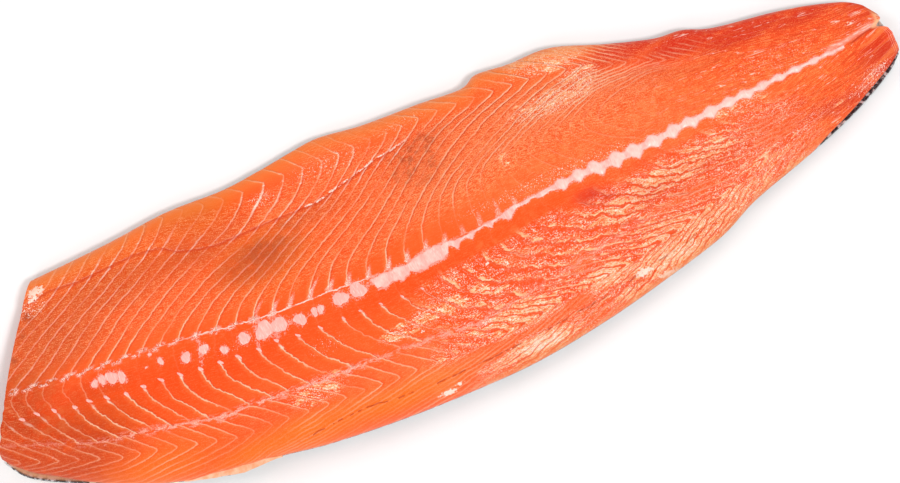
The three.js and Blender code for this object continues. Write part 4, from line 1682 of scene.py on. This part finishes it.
class SALMON_OT_backbone(bpy.types.Operator):
    """Models the strip of cut backbone"""

    bl_idname = "salmon.backbone"
    bl_label = "Backbone"

    def execute(self, context):
        ground = Ground(bpy.data.objects["salmon_flesh"])
        piece = new_sheet("backbone_beads", STRIP_STATIONS, STRIP_COLUMNS)
        points = points_of(piece)
        x = lerp(STRIP_START, STRIP_END, points[:, 0])
        back, belly = strip_sides(x)
        side = points[:, 1] * 2 - 1
        x, y, height = ground.under(x, lerp(back, belly, points[:, 1]))
        bead = bead_shape(x)
        crown = STRIP_CROWN * (1 - np.abs(side) ** 3) + BEAD_CROWN * bead * (1 - np.abs(side))
        crown = crown + 0.14 * ripple(x, y, 1.6, 44)
        set_points(piece, np.column_stack([x, y, height + crown - STRIP_SUNK]))
        mark(piece, "bone_rim", np.abs(side))
        joint = np.cos(math.pi * (x - STRIP_JOINT) / FLAKE_HEAD) ** 16
        waist = lerp(0.9, -0.1, rise(x, 60, 170))
        mark(piece, "pinkness", lerp(0.1 + 1.6 * joint, waist - 1.7 * bead, rise(x, 50, 62)))
        thicken(piece, STRIP_DEPTH)
        smooth_shading(piece)
        finish_piece(piece, cut_bone(context.scene.salmon_bone), ["backbone_strip"])
        return {"FINISHED"}


def scatter_domes(name, places, height, seed):
    """Low uneven domes sunk a little in the flesh, joined into one piece. A place is
    (x, y, half length, half width, turn in degrees)."""
    ground = Ground(bpy.data.objects["salmon_flesh"])
    deselect_all()
    bpy.ops.mesh.primitive_uv_sphere_add(segments=24, ring_count=12, radius=1)
    pattern = bpy.context.object
    ball = points_of(pattern)
    around = np.arctan2(ball[:, 1], ball[:, 0])
    copies = []
    for number, (x, y, half_length, half_width, turn) in enumerate(places):
        dome = bpy.data.objects.new(f"{name}_{number}", pattern.data.copy())
        bpy.context.collection.objects.link(dome)
        uneven = 1 + 0.14 * np.sin(2 * around + number * 1.7)
        uneven = uneven + 0.1 * np.sin(3 * around + seed + number)
        uneven = uneven + 0.06 * np.sin(7 * around + number * 2.9)
        out_x, out_y = ball[:, 0] * half_length * uneven, ball[:, 1] * half_width * uneven
        cosine, sine = math.cos(math.radians(turn)), math.sin(math.radians(turn))
        place_x, place_y, base = ground.under(
            x + out_x * cosine - out_y * sine, y + out_x * sine + out_y * cosine
        )
        set_points(dome, np.column_stack([place_x, place_y, base + ball[:, 2] * height]))
        mark(dome, "bone_rim", 1 - np.abs(ball[:, 2]))
        mark(dome, "pinkness", 0.8 + 0 * ball[:, 2])
        copies.append(dome)
    bpy.data.objects.remove(pattern)
    deselect_all()
    for dome in copies:
        dome.select_set(True)
    bpy.context.view_layer.objects.active = copies[0]
    bpy.ops.object.join()
    piece = bpy.context.object
    piece.name = piece.data.name = name
    smooth_shading(piece, 80)
    return piece


PIN_TURN = -46  # degrees, along the seam that each lies in
PIN_HALF_LENGTH, PIN_HALF_WIDTH = 1.8, 0.85
RIB_HEIGHT, PIN_HEIGHT = 0.4, 0.45


def pin_places():
    """The pin bones' ends, which shrink towards the tail."""
    for x, y in PIN_BONES:
        size = lerp(1, 0.62, float(rise(x, -130, -50)))
        yield x, y, size * PIN_HALF_LENGTH, size * PIN_HALF_WIDTH, PIN_TURN


class SALMON_OT_bones(bpy.types.Operator):
    """Models the cut ends of ribs and pin bones"""

    bl_idname = "salmon.bones"
    bl_label = "Bone Ends"

    def execute(self, context):
        finish = cut_bone(context.scene.salmon_bone)
        ribs = [(*spot, 0) for spot in BONE_SPOTS]
        finish_piece(scatter_domes("rib_ends", ribs, RIB_HEIGHT, 5), finish)
        finish_piece(scatter_domes("pin_bones", pin_places(), PIN_HEIGHT, 9), finish)
        return {"FINISHED"}


# The scrap of fat on the back edge

FLAP_START, FLAP_END = -186, -133
FLAP_STATIONS, FLAP_COLUMNS = 70, 9
FLAP_THICKNESS = 1.5


class SALMON_OT_fat(bpy.types.Operator):
    """Models the scrap of fat and membrane on the back edge"""

    bl_idname = "salmon.fat"
    bl_label = "Fat and Membrane"

    def execute(self, context):
        flap = new_sheet("fat_flap", FLAP_STATIONS, FLAP_COLUMNS)
        points = points_of(flap)
        inward = points[:, 1]
        x = lerp(FLAP_START, FLAP_END, points[:, 0])
        edge = along_points(BACK_EDGE, x) + NET.shift[1]
        out = along_points(SKIN_SHOWS_BACK, x) + 0.2
        y = edge - 0.4 + (1 - inward) * (out + 1.5)
        along = np.interp(x, NET.back.line[:, 0] + NET.shift[0], NET.back.share)
        bed = NET.underside(along, 0 * along) + SKIN_THICKNESS
        z = bed + 1.4 - 0.5 * inward + 0.25 * ripple(x, y, 4, 51)
        set_points(flap, np.column_stack([x, y, z]))
        thicken(flap, FLAP_THICKNESS)
        smooth_shading(flap)
        finish_piece(flap, soft_fat(context.scene.salmon_fat))
        return {"FINISHED"}


# The stage, in metres

FLOOR_SIZE = 14
FLOOR_GAP = 0.0002  # under the fillet
KEY_PLACE = (0.75, -1.6, 3.4)
KEY_SIZE = 0.8
SIDE_PLACES = [(-1.9, 1.3, 2), (1.9, 1.5, 2), (-1.6, -1.8, 2)]
SIDE_SIZE = 1.6
CAMERA_TARGET = (-0.003, -0.0027, 0.013)
CAMERA_REACH = 100


def add_lamp(name, place, size, power):
    """A round lamp that points at the origin."""
    deselect_all()
    bpy.ops.object.light_add(type="AREA", location=place)
    lamp = bpy.context.object
    lamp.name = name
    lamp.data.shape = "DISK"
    lamp.data.size = size
    lamp.data.energy = power
    lamp.rotation_euler = (-Vector(place)).to_track_quat("-Z", "Y").to_euler()


class SALMON_OT_stage(bpy.types.Operator):
    """Lays the floor and sets up the lamps and the camera"""

    bl_idname = "salmon.stage"
    bl_label = "Stage"

    def execute(self, context):
        look = context.scene.salmon_stage
        deselect_all()
        bpy.ops.mesh.primitive_plane_add(size=FLOOR_SIZE, location=(0, 0, -FLOOR_GAP))
        floor = context.object
        floor.name = "floor"
        f = Finish("plain_floor")
        floor.data.materials.append(f.done(Base_Color=(*look.floor_color, 1), Roughness=0.9))

        world = bpy.data.worlds.new("studio")
        context.scene.world = world
        world.use_nodes = True
        sky = world.node_tree.nodes["Background"]
        sky.inputs["Color"].default_value = (1, 1, 1, 1)
        sky.inputs["Strength"].default_value = look.fill_light
        add_lamp("key", KEY_PLACE, KEY_SIZE, look.key_light)
        for number, place in enumerate(SIDE_PLACES):
            add_lamp(f"side_{number}", place, SIDE_SIZE, look.side_light)

        azimuth, elevation = look.azimuth, look.elevation
        back = Vector((
            math.sin(azimuth) * math.cos(elevation),
            -math.cos(azimuth) * math.cos(elevation),
            math.sin(elevation),
        ))
        data = bpy.data.cameras.new("camera")
        camera = bpy.data.objects.new("camera", data)
        context.collection.objects.link(camera)
        data.lens = look.lens
        data.clip_end = CAMERA_REACH
        distance = look.picture_width * look.lens / data.sensor_width
        camera.location = Vector(CAMERA_TARGET) + back * distance
        camera.rotation_euler = (math.pi / 2 - elevation, 0, azimuth)
        context.scene.camera = camera
        context.scene.view_settings.view_transform = "Standard"
        return {"FINISHED"}


class SALMON_PT_panel(bpy.types.Panel):
    """Lists the steps that build the fillet"""

    bl_label = "Salmon"
    bl_idname = "SALMON_PT_panel"
    bl_space_type = "VIEW_3D"
    bl_region_type = "UI"
    bl_category = "Salmon"

    def draw(self, context):
        for operator in OPERATORS:
            self.layout.operator(operator.bl_idname)


OPERATORS = (
    SALMON_OT_stage, SALMON_OT_flesh, SALMON_OT_skin, SALMON_OT_backbone, SALMON_OT_bones,
    SALMON_OT_fat,
)
LOOKS = {
    "salmon_flesh": SalmonFleshLook,
    "salmon_skin": SalmonSkinLook,
    "salmon_bone": SalmonBoneLook,
    "salmon_fat": SalmonFatLook,
    "salmon_stage": SalmonStageLook,
}


def register():
    for cls in (*LOOKS.values(), *OPERATORS, SALMON_PT_panel):
        bpy.utils.register_class(cls)
    for name, cls in LOOKS.items():
        setattr(bpy.types.Scene, name, bpy.props.PointerProperty(type=cls))


def unregister():
    for name in LOOKS:
        delattr(bpy.types.Scene, name)
    for cls in (SALMON_PT_panel, *reversed(OPERATORS), *reversed(tuple(LOOKS.values()))):
        bpy.utils.unregister_class(cls)


def main():
    register()
    bpy.ops.salmon.stage()
    bpy.ops.salmon.flesh()
    bpy.ops.salmon.skin()
    bpy.ops.salmon.backbone()
    bpy.ops.salmon.bones()
    bpy.ops.salmon.fat()


if __name__ == "__main__":
    main()
